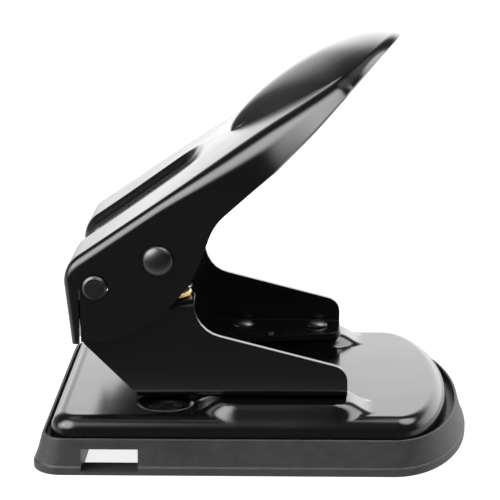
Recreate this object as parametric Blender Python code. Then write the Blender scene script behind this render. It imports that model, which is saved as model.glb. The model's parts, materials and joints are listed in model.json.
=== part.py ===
"""Two-hole punch: a pressed steel lever over two folded brackets on a steel base plate in a plastic tray.

Metres, +Z up. Paper enters from -X, the lever rises towards +X, and the part is its own mirror image
in Y. The origin is the middle of the tray's footprint on the table.
"""
import math

import bmesh
import bpy
from mathutils import Matrix, Vector

# Fits shared by every piece
SEAT_GAP = 0.0003
CUT_OVERRUN = 0.002
MERGE_DISTANCE = 1e-6
SMOOTH_ANGLE = math.radians(35)
LEVER_SMOOTH_ANGLE = math.radians(40)

# Punching geometry: where the holes fall and where the two shafts of the lever lie
HOLE_SPACING = 0.080
HOLE_DIAMETER = 0.0060
PUNCH_X = -0.0330
PIVOT_X = -0.0570
PIVOT_Z = 0.0660
DRIVE_REACH = 0.0226
DRIVE_RISE = 0.0101
LEVER_TRAVEL = math.radians(21.5)

# Plastic tray
TRAY_LENGTH = 0.1602
TRAY_WIDTH = 0.1300
TRAY_HEIGHT = 0.0132
TRAY_FLOOR = 0.0020
TRAY_CORNER = 0.0110
TRAY_BOW = 0.0310
TRAY_FOOT_BEVEL = 0.0008
TRAY_STEP_HEIGHT = 0.0030
TRAY_STEP = 0.0006
TRAY_END_TAPER = 0.0028
TRAY_SIDE_TAPER = 0.0012
TRAY_RIM = 0.0017
TRAY_LEDGE_HEIGHT = 0.0102
TRAY_LEDGE = 0.0045
TRAY_CAVITY_DRAFT = 0.0010
TRAY_LEAST_CORNER_SHARE = 0.25
TRAY_RIM_CHAMFER_SHARE = 0.25

# Through channel for the paper guide, near the tray's left end
CHANNEL_LEFT = -0.0620
CHANNEL_WIDTH = 0.0203
CHANNEL_SILL = 0.0015
CHANNEL_HEIGHT = 0.0080
CHANNEL_WALL = 0.0025
CHANNEL_LIP = 0.0100

# Pressed base plate
PLATE_LEFT = -0.0745
PLATE_RIGHT = 0.0730
PLATE_WIDTH = 0.1210
PLATE_TOP = 0.0195
PLATE_THICKNESS = 0.0020
PLATE_CORNER = 0.0100
PLATE_BOW = 0.0220
PLATE_SHOULDER = 0.0055
PLATE_DRAFT = 0.0006

# Raised platforms under the brackets; their risers stop the paper
PLATFORM_RISE = 0.0042
PLATFORM_LEFT = -0.0120
PLATFORM_RIGHT = 0.0326
PLATFORM_INNER = 0.0340
PLATFORM_OUTER = 0.0545
PLATFORM_CORNER = 0.0050
RISER_RUN = 0.0100
RISER_SIDE_RUN = 0.0040
RISER_ROUND = 0.0012
RISER_CORNER_SHARE = 0.25

# Dishes pressed into the plate, and the dies in their floors
DISH_DEPTH = 0.0012
DISH_FLOOR_RADIUS = 0.0086
DISH_RIM_RADIUS = 0.0104
DISH_STEPS = 4
DIE_HEAD_RADIUS = 0.0062
DIE_HEAD_THICKNESS = 0.0009
DIE_BODY_RADIUS = 0.0048
DIE_DEPTH = 0.0045
DIE_CLEARANCE = 0.0003

# Folded brackets
BRACKET_WIDTH = 0.0986
BRACKET_THICKNESS = 0.0025
BRACKET_BEND = 0.0035
FLANGE_LEFT = -0.0430
FLANGE_RIGHT = 0.0331
FLANGE_INNER_LEFT = 0.0170
FLANGE_INNER_RIGHT = 0.0294
FLANGE_CORNER = 0.0055
CHEEK_TAIL_Z = 0.0352
CHEEK_TAIL_ROUND = 0.0060
CHEEK_THROAT_Z = 0.0495
CHEEK_THROAT_ROUND = 0.0120
CHEEK_TOE_X = -0.0622
CHEEK_TOE_Z = 0.0449
CHEEK_TOE_ROUND = 0.0050
CHEEK_HEEL_ROUND = 0.0020
EAR_RADIUS = 0.0080
TAB_TOP = 0.0602
TAB_RADIUS = 0.0110
TAB_RELIEF = 0.0020
TAB_RELIEF_DEPTH = 0.0012
TAB_RELIEF_ROUND = 0.0009
EAR_FOOT_ROUND = 0.0025
PAD_LEFT = -0.0225
PAD_RIGHT = 0.0062
PAD_OUTER = 0.0340
PAD_BORDER = 0.0012
PAD_RISE = 0.0008
PAD_CORNER = 0.0030
FULL_ROUND_SHARE = 0.99

# Rivets that join bracket, flange and plate
RIVET_FRONT = (-0.0062, 0.0400)
RIVET_REAR = (0.0235, 0.0402)
RIVET_HEAD_RADIUS = 0.0045
RIVET_HEAD_HEIGHT = 0.0021
RIVET_SHANK_RADIUS = 0.0025
RIVET_TAIL_HEIGHT = 0.0012
RIVET_TAIL_RADIUS = 0.0031

# Punches, their brass guides, springs, cup washers and clips
STEM_RADIUS = 0.0040
CUTTING_LENGTH = 0.0140
PUNCH_TIP_INSET = 0.0006
TIP_HOLLOW_RADIUS = 0.0045
TIP_HOLLOW_DEPTH = 0.0010
STEM_TOP_CHAMFER = 0.0005
CLIP_GROOVE_DEPTH = 0.0008
CLIP_THICKNESS = 0.0009
CLIP_RADIUS = 0.0062
CLIP_OPENING = 0.0044
GUIDE_COLLAR_RADIUS = 0.0098
GUIDE_COLLAR_HEIGHT = 0.0019
GUIDE_BARREL_RADIUS = 0.0060
GUIDE_BARREL_BELOW = 0.0009
GUIDE_EDGE = 0.0006
GUIDE_STOP_GAP = 0.0005
WASHER_RADIUS = 0.0064
WASHER_THICKNESS = 0.0009
SPRING_WIRE = 0.0014
SPRING_RADIUS = 0.0054
SPRING_TURNS = 8
SPRING_CURL_POINTS = 10

# Pressed lever
LEVER_WIDTH = 0.1050
LEVER_SHEET = 0.0020
LEVER_EDGE_BEND = 0.0042
LEVER_APRON_EDGE_BEND = 0.0025
LEVER_END_BEND = 0.0023
LEVER_SLOPE = math.radians(34.2)
LEVER_ABOVE_PIVOT = 0.01255
LEVER_START_PAST_PIVOT = 0.0007
LEVER_LENGTH = 0.1390
LEVER_BOW = 0.0310
APRON_BEND_RADIUS = 0.0110
APRON_TURN = math.radians(62.5)
APRON_LENGTH = 0.0217
RECESS_WIDTH = 0.0420
RECESS_DEPTH = 0.0030
RECESS_WALL = 0.0060
RECESS_END = 0.0530
RECESS_RAMP = 0.0100
CROWN_HEIGHT = 0.0009
CROWN_START = 0.0050
CROWN_FULL = 0.0580
DOME_TIP = 0.0650
DOME_HEIGHT = 0.0073
DOME_WIDENS_IN = 0.0410
DOME_RISE_SHARE = 0.65
DOME_FALL_SHARE = 0.70
DOME_OUTLINE_SHARE = 1.15
DOME_SECTION_SHARE = 0.85
DOME_START_HALF = 0.0050
DOME_FULL_SHARE = 0.95
SLIT_WIDTH = 0.0006
SLIT_BEHIND_BEND = 0.0003
SLIT_TOP_BELOW_PIVOT = 0.0010

# Lower outline of the lever's side walls, from the pivot: the quadrant round the drive shaft, the
# throat above it and the handle's lower edge
WALL_TOE_Z = -0.02005
WALL_QUADRANT_CENTRE = (-0.0076, 0.0271)
WALL_QUADRANT_RADIUS = 0.0484
WALL_QUADRANT_FROM = math.radians(-76)
WALL_QUADRANT_TO = math.radians(-20)
WALL_THROAT = (0.04235, 0.0227)
WALL_THROAT_ROUND = 0.0200
WALL_HANDLE_TURNS_AT = 0.0752
WALL_HANDLE_DEPTH = 0.0139
WALL_END_DEPTH = 0.0059
WALL_TIP_DEPTH = 0.0026
WALL_TIP_POWER = 2.6

# Pivot shaft and drive shaft
PIVOT_RADIUS = 0.00435
PIVOT_PROUD = 0.0017
PIVOT_CHAMFER = 0.0008
PIVOT_WASHER_RADIUS = 0.0078
PIVOT_CLIP_RADIUS = 0.0074
PIVOT_CLIP_THICKNESS = 0.0010
PIVOT_GROOVE_DEPTH = 0.0007
PIVOT_CLIP_OPENING = 0.0050
DRIVE_RADIUS = 0.0030
ROLLER_RADIUS = 0.0042
ROLLER_LENGTH = 0.0130
CAP_RADIUS = 0.00545
CAP_HEIGHT = 0.0036
CAP_SKIRT = 0.0010
CAP_EDGE = 0.0005
CAP_BORE_DEPTH = 0.0022

# How finely round forms are divided
ROUND_STEPS = 24
SMALL_ROUND_STEPS = 20
DISH_SIDES = 28
CORNER_STEPS = 6
BEND_STEPS = 5
BOW_STEPS = 20
BOW_ROWS = 5
TOP_ROWS = 3
RAMP_ROWS = 7
DOME_ROWS = 12
FLOOR_COLUMNS = 3
LAND_COLUMNS = 4
RECESS_WALL_SHARES = (0, 0.3, 0.7)
BOW_LAST_ANGLE = math.radians(52)

# Places worked out from the sizes above
TRAY_LEFT = -TRAY_LENGTH / 2
TRAY_RIGHT = TRAY_LENGTH / 2
CHANNEL_RIGHT = CHANNEL_LEFT + CHANNEL_WIDTH
CHANNEL_TOP = CHANNEL_SILL + CHANNEL_HEIGHT
PLATE_BOTTOM = TRAY_LEDGE_HEIGHT + SEAT_GAP
PLATFORM_TOP = PLATE_TOP + PLATFORM_RISE
DISH_FLOOR_Z = PLATE_TOP - DISH_DEPTH
FLANGE_Z = PLATFORM_TOP + SEAT_GAP
FLANGE_TOP = FLANGE_Z + BRACKET_THICKNESS
CHEEK_OUTER = BRACKET_WIDTH / 2
CHEEK_INNER = CHEEK_OUTER - BRACKET_THICKNESS
PUNCH_Y = HOLE_SPACING / 2
PUNCH_RADIUS = HOLE_DIAMETER / 2
DRIVE_Z = PIVOT_Z + DRIVE_RISE
DRIVE_ARM = math.hypot(DRIVE_REACH, DRIVE_RISE)
DRIVE_ANGLE = math.atan2(DRIVE_RISE, DRIVE_REACH)
STROKE = DRIVE_ARM * (math.sin(DRIVE_ANGLE) - math.sin(DRIVE_ANGLE - LEVER_TRAVEL))
STEM_TOP = DRIVE_Z - ROLLER_RADIUS - SEAT_GAP
PUNCH_TIP = FLANGE_Z + PUNCH_TIP_INSET
GUIDE_BOTTOM = TAB_TOP - BRACKET_THICKNESS - GUIDE_BARREL_BELOW
CLIP_TOP = GUIDE_BOTTOM - GUIDE_STOP_GAP
CLIP_BOTTOM = CLIP_TOP - CLIP_THICKNESS
WASHER_TOP = CLIP_BOTTOM - SEAT_GAP
WASHER_BOTTOM = WASHER_TOP - WASHER_THICKNESS
SPRING_BOTTOM = FLANGE_TOP + SEAT_GAP
SPRING_TOP = WASHER_BOTTOM - SEAT_GAP
WALL_OUTER = LEVER_WIDTH / 2
WALL_INNER = WALL_OUTER - LEVER_SHEET
WALL_END_AT = LEVER_LENGTH - LEVER_BOW


def clear_scene():
    """Removes every object that the new file starts with."""
    for item in list(bpy.data.objects):
        bpy.data.objects.remove(item)


def make_material(name, colour, roughness, metallic):
    """One Principled material."""
    material = bpy.data.materials.new(name)
    material.use_nodes = True
    shader = material.node_tree.nodes["Principled BSDF"]
    shader.inputs["Base Color"].default_value = (*colour, 1.0)
    shader.inputs["Roughness"].default_value = roughness
    shader.inputs["Metallic"].default_value = metallic
    return material


def make_object(name, mesh_builder, material, smooth_angle=SMOOTH_ANGLE):
    """Turns a bmesh into a named object with its material and smooth shading up to an angle."""
    bmesh.ops.remove_doubles(mesh_builder, verts=mesh_builder.verts, dist=MERGE_DISTANCE)
    bmesh.ops.recalc_face_normals(mesh_builder, faces=mesh_builder.faces)
    mesh = bpy.data.meshes.new(name)
    mesh_builder.to_mesh(mesh)
    mesh_builder.free()
    mesh.materials.append(material)
    mesh.shade_smooth()
    mesh.set_sharp_from_angle(angle=smooth_angle)
    item = bpy.data.objects.new(name, mesh)
    bpy.context.collection.objects.link(item)
    return item


def boolean(item, cutter, operation):
    """Joins another object to an object or cuts it away, and applies the result at once."""
    modifier = item.modifiers.new("join", "BOOLEAN")
    modifier.operation = operation
    modifier.solver = "EXACT"
    modifier.object = cutter
    graph = bpy.context.evaluated_depsgraph_get()
    mesh = bpy.data.meshes.new_from_object(item.evaluated_get(graph))
    item.modifiers.clear()
    item.data = mesh
    bpy.data.objects.remove(cutter)


def finish_cut_piece(item, smooth_angle=SMOOTH_ANGLE):
    """Merges the doubles that cutting leaves and sets the shading again."""
    mesh_builder = bmesh.new()
    mesh_builder.from_mesh(item.data)
    bmesh.ops.remove_doubles(mesh_builder, verts=mesh_builder.verts, dist=MERGE_DISTANCE)
    bmesh.ops.dissolve_degenerate(mesh_builder, edges=mesh_builder.edges, dist=MERGE_DISTANCE)
    mesh_builder.to_mesh(item.data)
    mesh_builder.free()
    item.data.shade_smooth()
    item.data.set_sharp_from_angle(angle=smooth_angle)


def arc(centre, radius, start, end, steps):
    """Points on a circle from one angle to another, both ends included."""
    return [
        (centre[0] + radius * math.cos(start + (end - start) * k / steps),
         centre[1] + radius * math.sin(start + (end - start) * k / steps))
        for k in range(steps + 1)
    ]


def rounded_outline(corners, steps=CORNER_STEPS):
    """A closed outline through corners (x, y, radius), each replaced by a tangent arc of its radius."""
    outline = []
    count = len(corners)
    for index, (x, y, radius) in enumerate(corners):
        before = Vector(corners[index - 1][:2]) - Vector((x, y))
        after = Vector(corners[(index + 1) % count][:2]) - Vector((x, y))
        half = before.angle(after) / 2
        bisector = (before.normalized() + after.normalized()).normalized()
        centre = Vector((x, y)) + bisector * (radius / math.sin(half))
        back = radius / math.tan(half)
        first = Vector((x, y)) + before.normalized() * back - centre
        last = Vector((x, y)) + after.normalized() * back - centre
        turn = first.angle_signed(last)
        for k in range(steps + 1):
            outline.append(tuple(centre + Matrix.Rotation(-turn * k / steps, 2) @ first))
    return outline


def bowed_outline(left, right, half_width, corner, bow):
    """Outline with two round corners at the left and a half-elliptical right end."""
    outline = arc((left + corner, -half_width + corner), corner, math.pi, 1.5 * math.pi, CORNER_STEPS)
    for k in range(BOW_STEPS + 1):
        angle = -math.pi / 2 + math.pi * k / BOW_STEPS
        outline.append((right - bow + bow * math.cos(angle), half_width * math.sin(angle)))
    outline += arc((left + corner, half_width - corner), corner, 0.5 * math.pi, math.pi, CORNER_STEPS)
    return outline


def loft(rings):
    """A closed body through rings of equally many points, with a face over each end."""
    mesh_builder = bmesh.new()
    rows = [[mesh_builder.verts.new(point) for point in ring] for ring in rings]
    for lower, upper in zip(rows, rows[1:]):
        for k in range(len(lower)):
            after = (k + 1) % len(lower)
            mesh_builder.faces.new((lower[k], lower[after], upper[after], upper[k]))
    mesh_builder.faces.new(list(reversed(rows[0])))
    mesh_builder.faces.new(rows[-1])
    return mesh_builder


def prism(outline, bottom, top):
    """A closed body with one outline in X and Y between two heights."""
    return loft([[(x, y, z) for x, y in outline] for z in (bottom, top)])


def box(low, high):
    """A closed box between two corners."""
    outline = [(low[0], low[1]), (high[0], low[1]), (high[0], high[1]), (low[0], high[1])]
    return prism(outline, low[2], high[2])


def turned(profile, steps=ROUND_STEPS, closed=False):
    """Turns a profile of (radius, height) about Z. A closed profile makes a ring."""
    mesh_builder = bmesh.new()
    rows = []
    for radius, height in profile:
        rows.append([
            mesh_builder.verts.new((radius * math.cos(2 * math.pi * k / steps),
                                    radius * math.sin(2 * math.pi * k / steps), height))
            for k in range(steps)
        ])
    pairs = list(zip(rows, rows[1:]))
    if closed:
        pairs.append((rows[-1], rows[0]))
    else:
        mesh_builder.faces.new(list(reversed(rows[0])))
        mesh_builder.faces.new(rows[-1])
    for lower, upper in pairs:
        for k in range(steps):
            after = (k + 1) % steps
            mesh_builder.faces.new((lower[k], lower[after], upper[after], upper[k]))
    return mesh_builder


def ring_profile(inner, outer, bottom, top):
    """The closed profile of a ring."""
    return [(inner, bottom), (outer, bottom), (outer, top), (inner, top)]


def along_y(mesh_builder, side):
    """Turns a body made about Z so that its +Z points to +Y or -Y."""
    turn = Matrix.Rotation(-side * math.pi / 2, 4, "X")
    bmesh.ops.transform(mesh_builder, matrix=turn, verts=mesh_builder.verts)
    return mesh_builder


def peg(radius, bottom, top, place, steps=SMALL_ROUND_STEPS):
    """An upright round cutter at a place in X and Y."""
    item = make_object("peg", turned([(radius, bottom), (radius, top)], steps), None)
    item.location = (place[0], place[1], 0)
    bpy.context.view_layer.update()
    return item


def tray_ring(height, inset):
    """The tray's outline at a height, drawn in by its taper and by an inset."""
    above_step = max(0.0, height - TRAY_STEP_HEIGHT) / (TRAY_HEIGHT - TRAY_STEP_HEIGHT)
    end = inset + TRAY_END_TAPER * above_step
    side = inset + TRAY_SIDE_TAPER * above_step
    corner = max(TRAY_CORNER - side, TRAY_CORNER * TRAY_LEAST_CORNER_SHARE)
    outline = bowed_outline(TRAY_LEFT + end, TRAY_RIGHT - end, TRAY_WIDTH / 2 - side, corner, TRAY_BOW - end)
    return [(x, y, height) for x, y in outline]


def build_tray(material):
    """The moulded tray: stepped foot, tapered wall, thin rim, ledge for the plate and chip space."""
    ledge_inset = TRAY_RIM + TRAY_LEDGE
    rings = [
        tray_ring(0, TRAY_FOOT_BEVEL),
        tray_ring(TRAY_FOOT_BEVEL, 0),
        tray_ring(TRAY_STEP_HEIGHT, 0),
        tray_ring(TRAY_STEP_HEIGHT + TRAY_STEP, TRAY_STEP),
        tray_ring(TRAY_HEIGHT - TRAY_STEP / 2, TRAY_STEP),
        tray_ring(TRAY_HEIGHT, TRAY_STEP + TRAY_RIM * TRAY_RIM_CHAMFER_SHARE),
        tray_ring(TRAY_HEIGHT, TRAY_RIM),
        tray_ring(TRAY_LEDGE_HEIGHT, TRAY_RIM),
        tray_ring(TRAY_LEDGE_HEIGHT, ledge_inset),
        tray_ring(TRAY_FLOOR, ledge_inset + TRAY_CAVITY_DRAFT),
    ]
    tray = make_object("base_tray", loft(rings), material)
    half = TRAY_WIDTH / 2
    tunnel_half = half - ledge_inset
    tunnel = box((CHANNEL_LEFT - CHANNEL_WALL, -tunnel_half, TRAY_FLOOR / 2),
                 (CHANNEL_RIGHT + CHANNEL_WALL, tunnel_half, TRAY_LEDGE_HEIGHT - SEAT_GAP))
    boolean(tray, make_object("tunnel", tunnel, material), "UNION")
    slot = box((CHANNEL_LEFT, -half - CUT_OVERRUN, CHANNEL_SILL), (CHANNEL_RIGHT, half + CUT_OVERRUN, CHANNEL_TOP))
    boolean(tray, make_object("slot", slot, material), "DIFFERENCE")
    floor_half = half - CHANNEL_LIP
    floor_cut = box((CHANNEL_LEFT, -floor_half, -CUT_OVERRUN), (CHANNEL_RIGHT, floor_half, CHANNEL_TOP))
    boolean(tray, make_object("floor_cut", floor_cut, material), "DIFFERENCE")
    finish_cut_piece(tray)
    return tray


def plate_pan(material, inset, bottom):
    """The plate as a filled pan: skirt, rounded shoulder and flat top, drawn in by an inset."""
    radius = PLATE_SHOULDER - inset
    spring_line = PLATE_TOP - PLATE_SHOULDER
    levels = [(bottom, inset), (spring_line, inset + PLATE_DRAFT)]
    for k in range(1, BEND_STEPS + 1):
        angle = math.pi / 2 * k / BEND_STEPS
        levels.append((spring_line + radius * math.sin(angle),
                       inset + PLATE_DRAFT + radius * (1 - math.cos(angle))))
    rings = []
    for height, draw in levels:
        outline = bowed_outline(PLATE_LEFT + draw, PLATE_RIGHT - draw, PLATE_WIDTH / 2 - draw,
                                PLATE_CORNER - draw, PLATE_BOW - draw)
        rings.append([(x, y, height) for x, y in outline])
    return make_object("base_plate", loft(rings), material)


def platform(material, side, inset):
    """One raised platform with sloping sides, drawn in by an inset, reaching down into the pan."""
    def ring(height, run_share):
        run = RISER_RUN * run_share - inset
        side_run = RISER_SIDE_RUN * run_share - inset
        left, right = PLATFORM_LEFT - run, PLATFORM_RIGHT + run
        inner, outer = PLATFORM_INNER - side_run, PLATFORM_OUTER + side_run
        radius = PLATFORM_CORNER + run * RISER_CORNER_SHARE
        corners = [(left, inner, radius), (right, inner, radius), (right, outer, radius), (left, outer, radius)]
        return [(x, side * y, height - inset) for x, y in rounded_outline(corners)]

    shoulder_share = RISER_ROUND / PLATFORM_RISE
    rings = [
        ring(PLATE_TOP - PLATE_SHOULDER, 1),
        ring(PLATE_TOP, 1),
        ring(PLATE_TOP + RISER_ROUND, 1 - shoulder_share / 2),
        ring(PLATFORM_TOP - RISER_ROUND, shoulder_share),
        ring(PLATFORM_TOP, 0),
    ]
    return make_object("platform", loft(rings), material)


def dish(side, drop):
    """The dish round a die as a cutter with an S-shaped flank, lowered and widened to its underside by a drop."""
    profile = []
    for k in range(DISH_STEPS + 1):
        share = k / DISH_STEPS
        radius = DISH_FLOOR_RADIUS + (DISH_RIM_RADIUS - DISH_FLOOR_RADIUS) * share + drop / 2
        profile.append((radius, DISH_FLOOR_Z + DISH_DEPTH * smooth_step(share) - drop))
    profile.append((DISH_RIM_RADIUS + drop / 2, PLATE_TOP + CUT_OVERRUN))
    item = make_object("dish", turned(profile, DISH_SIDES), None)
    item.location = (PUNCH_X, side * PUNCH_Y, 0)
    bpy.context.view_layer.update()
    return item


def build_plate(material):
    """The pressed plate: outer form less the same form drawn in by the sheet, then its holes."""
    outer = plate_pan(material, 0, PLATE_BOTTOM)
    inner = plate_pan(material, PLATE_THICKNESS, PLATE_BOTTOM - CUT_OVERRUN)
    for side in (-1, 1):
        boolean(outer, platform(material, side, 0), "UNION")
        boolean(outer, dish(side, 0), "DIFFERENCE")
        boolean(inner, platform(material, side, PLATE_THICKNESS), "UNION")
        boolean(inner, dish(side, PLATE_THICKNESS), "DIFFERENCE")
    boolean(outer, inner, "DIFFERENCE")
    for side in (-1, 1):
        die_place = (PUNCH_X, side * PUNCH_Y)
        seat = peg(DIE_HEAD_RADIUS + DIE_CLEARANCE, DISH_FLOOR_Z - DIE_HEAD_THICKNESS - SEAT_GAP,
                   PLATE_TOP + CUT_OVERRUN, die_place)
        boolean(outer, seat, "DIFFERENCE")
        bore = peg(DIE_BODY_RADIUS + DIE_CLEARANCE, DISH_FLOOR_Z - DIE_DEPTH, PLATE_TOP + CUT_OVERRUN, die_place)
        boolean(outer, bore, "DIFFERENCE")
        for x, y in (RIVET_FRONT, RIVET_REAR):
            hole = peg(RIVET_SHANK_RADIUS + SEAT_GAP, PLATE_TOP - CUT_OVERRUN, PLATFORM_TOP + CUT_OVERRUN,
                       (x, side * y))
            boolean(outer, hole, "DIFFERENCE")
    finish_cut_piece(outer)
    return outer


def build_die(name, material, side):
    """A flanged die: its head lies in the plate's seat and its edge shears the paper."""
    bore = PUNCH_RADIUS + DIE_CLEARANCE
    top = DISH_FLOOR_Z - SEAT_GAP / 2
    head_bottom = top - DIE_HEAD_THICKNESS + SEAT_GAP / 2
    profile = [
        (bore, top - DIE_DEPTH), (DIE_BODY_RADIUS, top - DIE_DEPTH), (DIE_BODY_RADIUS, head_bottom),
        (DIE_HEAD_RADIUS, head_bottom), (DIE_HEAD_RADIUS, top), (bore, top),
    ]
    item = make_object(name, turned(profile, closed=True), material)
    item.location = (PUNCH_X, side * PUNCH_Y, 0)
    return item


def fold_point(u, v, depth):
    """Places a point of the bracket's flat blank on the folded sheet.

    u runs along X. v is the distance over the outer face from the top of the lower bend: negative
    over the bend and along the flange, positive up the cheek and over the top tab. depth is the
    distance from the outer face into the sheet.
    """
    bend_length = BRACKET_BEND * math.pi / 2
    low_centre = FLANGE_Z + BRACKET_BEND
    high_centre = TAB_TOP - BRACKET_BEND
    cheek_height = high_centre - low_centre
    centre_y = CHEEK_OUTER - BRACKET_BEND
    radius = BRACKET_BEND - depth
    if v < -bend_length:
        return Vector((u, centre_y + (v + bend_length), FLANGE_Z + depth))
    if v < 0:
        angle = -v / BRACKET_BEND
        return Vector((u, centre_y + radius * math.cos(angle), low_centre - radius * math.sin(angle)))
    if v <= cheek_height or u < tab_left() - TAB_RELIEF / 2:
        return Vector((u, CHEEK_OUTER - depth, low_centre + v))
    if v < cheek_height + bend_length:
        angle = (v - cheek_height) / BRACKET_BEND
        return Vector((u, centre_y + radius * math.cos(angle), high_centre + radius * math.sin(angle)))
    return Vector((u, centre_y - (v - cheek_height - bend_length), TAB_TOP - depth))


def tab_left():
    """The front edge of the top tab."""
    return PUNCH_X - TAB_RADIUS


def flange_v(y):
    """The blank's v of a distance from the middle plane on the lower flange."""
    return -(CHEEK_OUTER - BRACKET_BEND - y) - BRACKET_BEND * math.pi / 2


def cheek_v(z):
    """The blank's v of a height on the cheek."""
    return z - FLANGE_Z - BRACKET_BEND


def tab_v(y):
    """The blank's v of a distance from the middle plane on the top tab."""
    start = TAB_TOP - BRACKET_BEND - FLANGE_Z - BRACKET_BEND + BRACKET_BEND * math.pi / 2
    return start + (CHEEK_OUTER - BRACKET_BEND - y)


def blank_outline():
    """The bracket's flat blank: flange, cheek, top tab and the ear for the pivot shaft."""
    tab_right = PUNCH_X + TAB_RADIUS
    tab_end = tab_v(PUNCH_Y - TAB_RADIUS)
    tab_round = TAB_RADIUS * FULL_ROUND_SHARE
    relief = tab_left() - TAB_RELIEF
    relief_z = TAB_TOP - BRACKET_BEND - TAB_RELIEF_DEPTH
    ear_right = PIVOT_X + EAR_RADIUS
    ear_left = PIVOT_X - EAR_RADIUS
    ear_top = PIVOT_Z + EAR_RADIUS
    ear_foot = relief_z + EAR_FOOT_ROUND
    corners = [
        (FLANGE_LEFT, flange_v(FLANGE_INNER_LEFT), FLANGE_CORNER),
        (FLANGE_RIGHT, flange_v(FLANGE_INNER_RIGHT), FLANGE_CORNER),
        (FLANGE_RIGHT, cheek_v(CHEEK_TAIL_Z), CHEEK_TAIL_ROUND),
        (tab_right, cheek_v(CHEEK_THROAT_Z), CHEEK_THROAT_ROUND),
        (tab_right, tab_end, tab_round),
        (tab_left(), tab_end, tab_round),
        (tab_left(), cheek_v(relief_z), TAB_RELIEF_ROUND),
        (relief, cheek_v(relief_z), TAB_RELIEF_ROUND),
        (relief, cheek_v(ear_foot) + TAB_RELIEF, TAB_RELIEF_ROUND),
        (ear_right, cheek_v(ear_foot) + EAR_FOOT_ROUND * 2, EAR_FOOT_ROUND / 2),
        (ear_right, cheek_v(ear_top), EAR_RADIUS * FULL_ROUND_SHARE),
        (ear_left, cheek_v(ear_top), EAR_RADIUS * FULL_ROUND_SHARE),
        (CHEEK_TOE_X, cheek_v(CHEEK_TOE_Z), CHEEK_TOE_ROUND),
        (FLANGE_LEFT, cheek_v(FLANGE_Z + BRACKET_BEND / 2), CHEEK_HEEL_ROUND),
    ]
    return rounded_outline(corners)


def circle_loop(centre, radius, steps=SMALL_ROUND_STEPS):
    """A closed ring of points round a place on the blank."""
    return arc(centre, radius, 0, 2 * math.pi, steps)[:-1]


def flange_pad(side):
    """The low pad on the flange beside the front rivet, along the flange's sloping inner edge."""
    slope = (FLANGE_INNER_RIGHT - FLANGE_INNER_LEFT) / (FLANGE_RIGHT - FLANGE_LEFT)
    corners = []
    for x in (PAD_LEFT, PAD_RIGHT):
        corners.append((x, FLANGE_INNER_LEFT + slope * (x - FLANGE_LEFT) + PAD_BORDER, PAD_CORNER))
    corners += [(PAD_RIGHT, PAD_OUTER, PAD_CORNER), (PAD_LEFT, PAD_OUTER, PAD_CORNER)]
    outline = [(x, side * y) for x, y in rounded_outline(corners)]
    return make_object("pad", prism(outline, FLANGE_TOP - PAD_RISE, FLANGE_TOP + PAD_RISE), None)


def build_bracket(name, material, side):
    """Cuts the blank's outline and holes, divides it at the bend lines, gives it its sheet and folds it."""
    loops = [
        blank_outline(),
        circle_loop((PIVOT_X, cheek_v(PIVOT_Z)), PIVOT_RADIUS + SEAT_GAP),
        circle_loop((PUNCH_X, tab_v(PUNCH_Y)), GUIDE_BARREL_RADIUS + SEAT_GAP),
        circle_loop((PUNCH_X, flange_v(PUNCH_Y)), PUNCH_RADIUS + SEAT_GAP),
        circle_loop((RIVET_FRONT[0], flange_v(RIVET_FRONT[1])), RIVET_SHANK_RADIUS + SEAT_GAP),
        circle_loop((RIVET_REAR[0], flange_v(RIVET_REAR[1])), RIVET_SHANK_RADIUS + SEAT_GAP),
    ]
    mesh_builder = bmesh.new()
    edges = []
    for points in loops:
        ring = [mesh_builder.verts.new((u, v, 0)) for u, v in points]
        edges += [mesh_builder.edges.new((ring[k - 1], ring[k])) for k in range(len(ring))]
    bmesh.ops.triangle_fill(mesh_builder, use_beauty=True, edges=edges, normal=(0, 0, 1))
    bend_length = BRACKET_BEND * math.pi / 2
    cheek_height = TAB_TOP - FLANGE_Z - BRACKET_BEND * 2
    for start in (-bend_length, cheek_height):
        for k in range(BEND_STEPS + 1):
            line = start + bend_length * k / BEND_STEPS
            geometry = list(mesh_builder.verts) + list(mesh_builder.edges) + list(mesh_builder.faces)
            bmesh.ops.bisect_plane(mesh_builder, geom=geometry, dist=MERGE_DISTANCE, plane_co=(0, line, 0),
                                   plane_no=(0, 1, 0))
    sheet = bmesh.ops.extrude_face_region(mesh_builder, geom=list(mesh_builder.faces))["geom"]
    inner = {vert for vert in sheet if isinstance(vert, bmesh.types.BMVert)}
    for vert in mesh_builder.verts:
        depth = BRACKET_THICKNESS if vert in inner else 0
        place = fold_point(vert.co.x, vert.co.y, depth)
        vert.co = (place.x, side * place.y, place.z)
    bracket = make_object(name, mesh_builder, material)
    boolean(bracket, flange_pad(side), "UNION")
    finish_cut_piece(bracket)
    return bracket


def build_rivet(name, material, place, side):
    """A rivet with a low dome on the flange and a formed tail under the plate."""
    seat = FLANGE_TOP + SEAT_GAP
    tail = PLATFORM_TOP - PLATE_THICKNESS - SEAT_GAP
    profile = [
        (RIVET_SHANK_RADIUS, tail - RIVET_TAIL_HEIGHT), (RIVET_TAIL_RADIUS, tail),
        (RIVET_SHANK_RADIUS, tail), (RIVET_SHANK_RADIUS, seat), (RIVET_HEAD_RADIUS, seat),
    ]
    for k in range(1, BEND_STEPS):
        angle = math.pi / 2 * k / BEND_STEPS
        profile.append((RIVET_HEAD_RADIUS * math.cos(angle), seat + RIVET_HEAD_HEIGHT * math.sin(angle)))
    item = make_object(name, turned(profile, SMALL_ROUND_STEPS), material)
    item.location = (place[0], side * place[1], 0)
    return item


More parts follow.
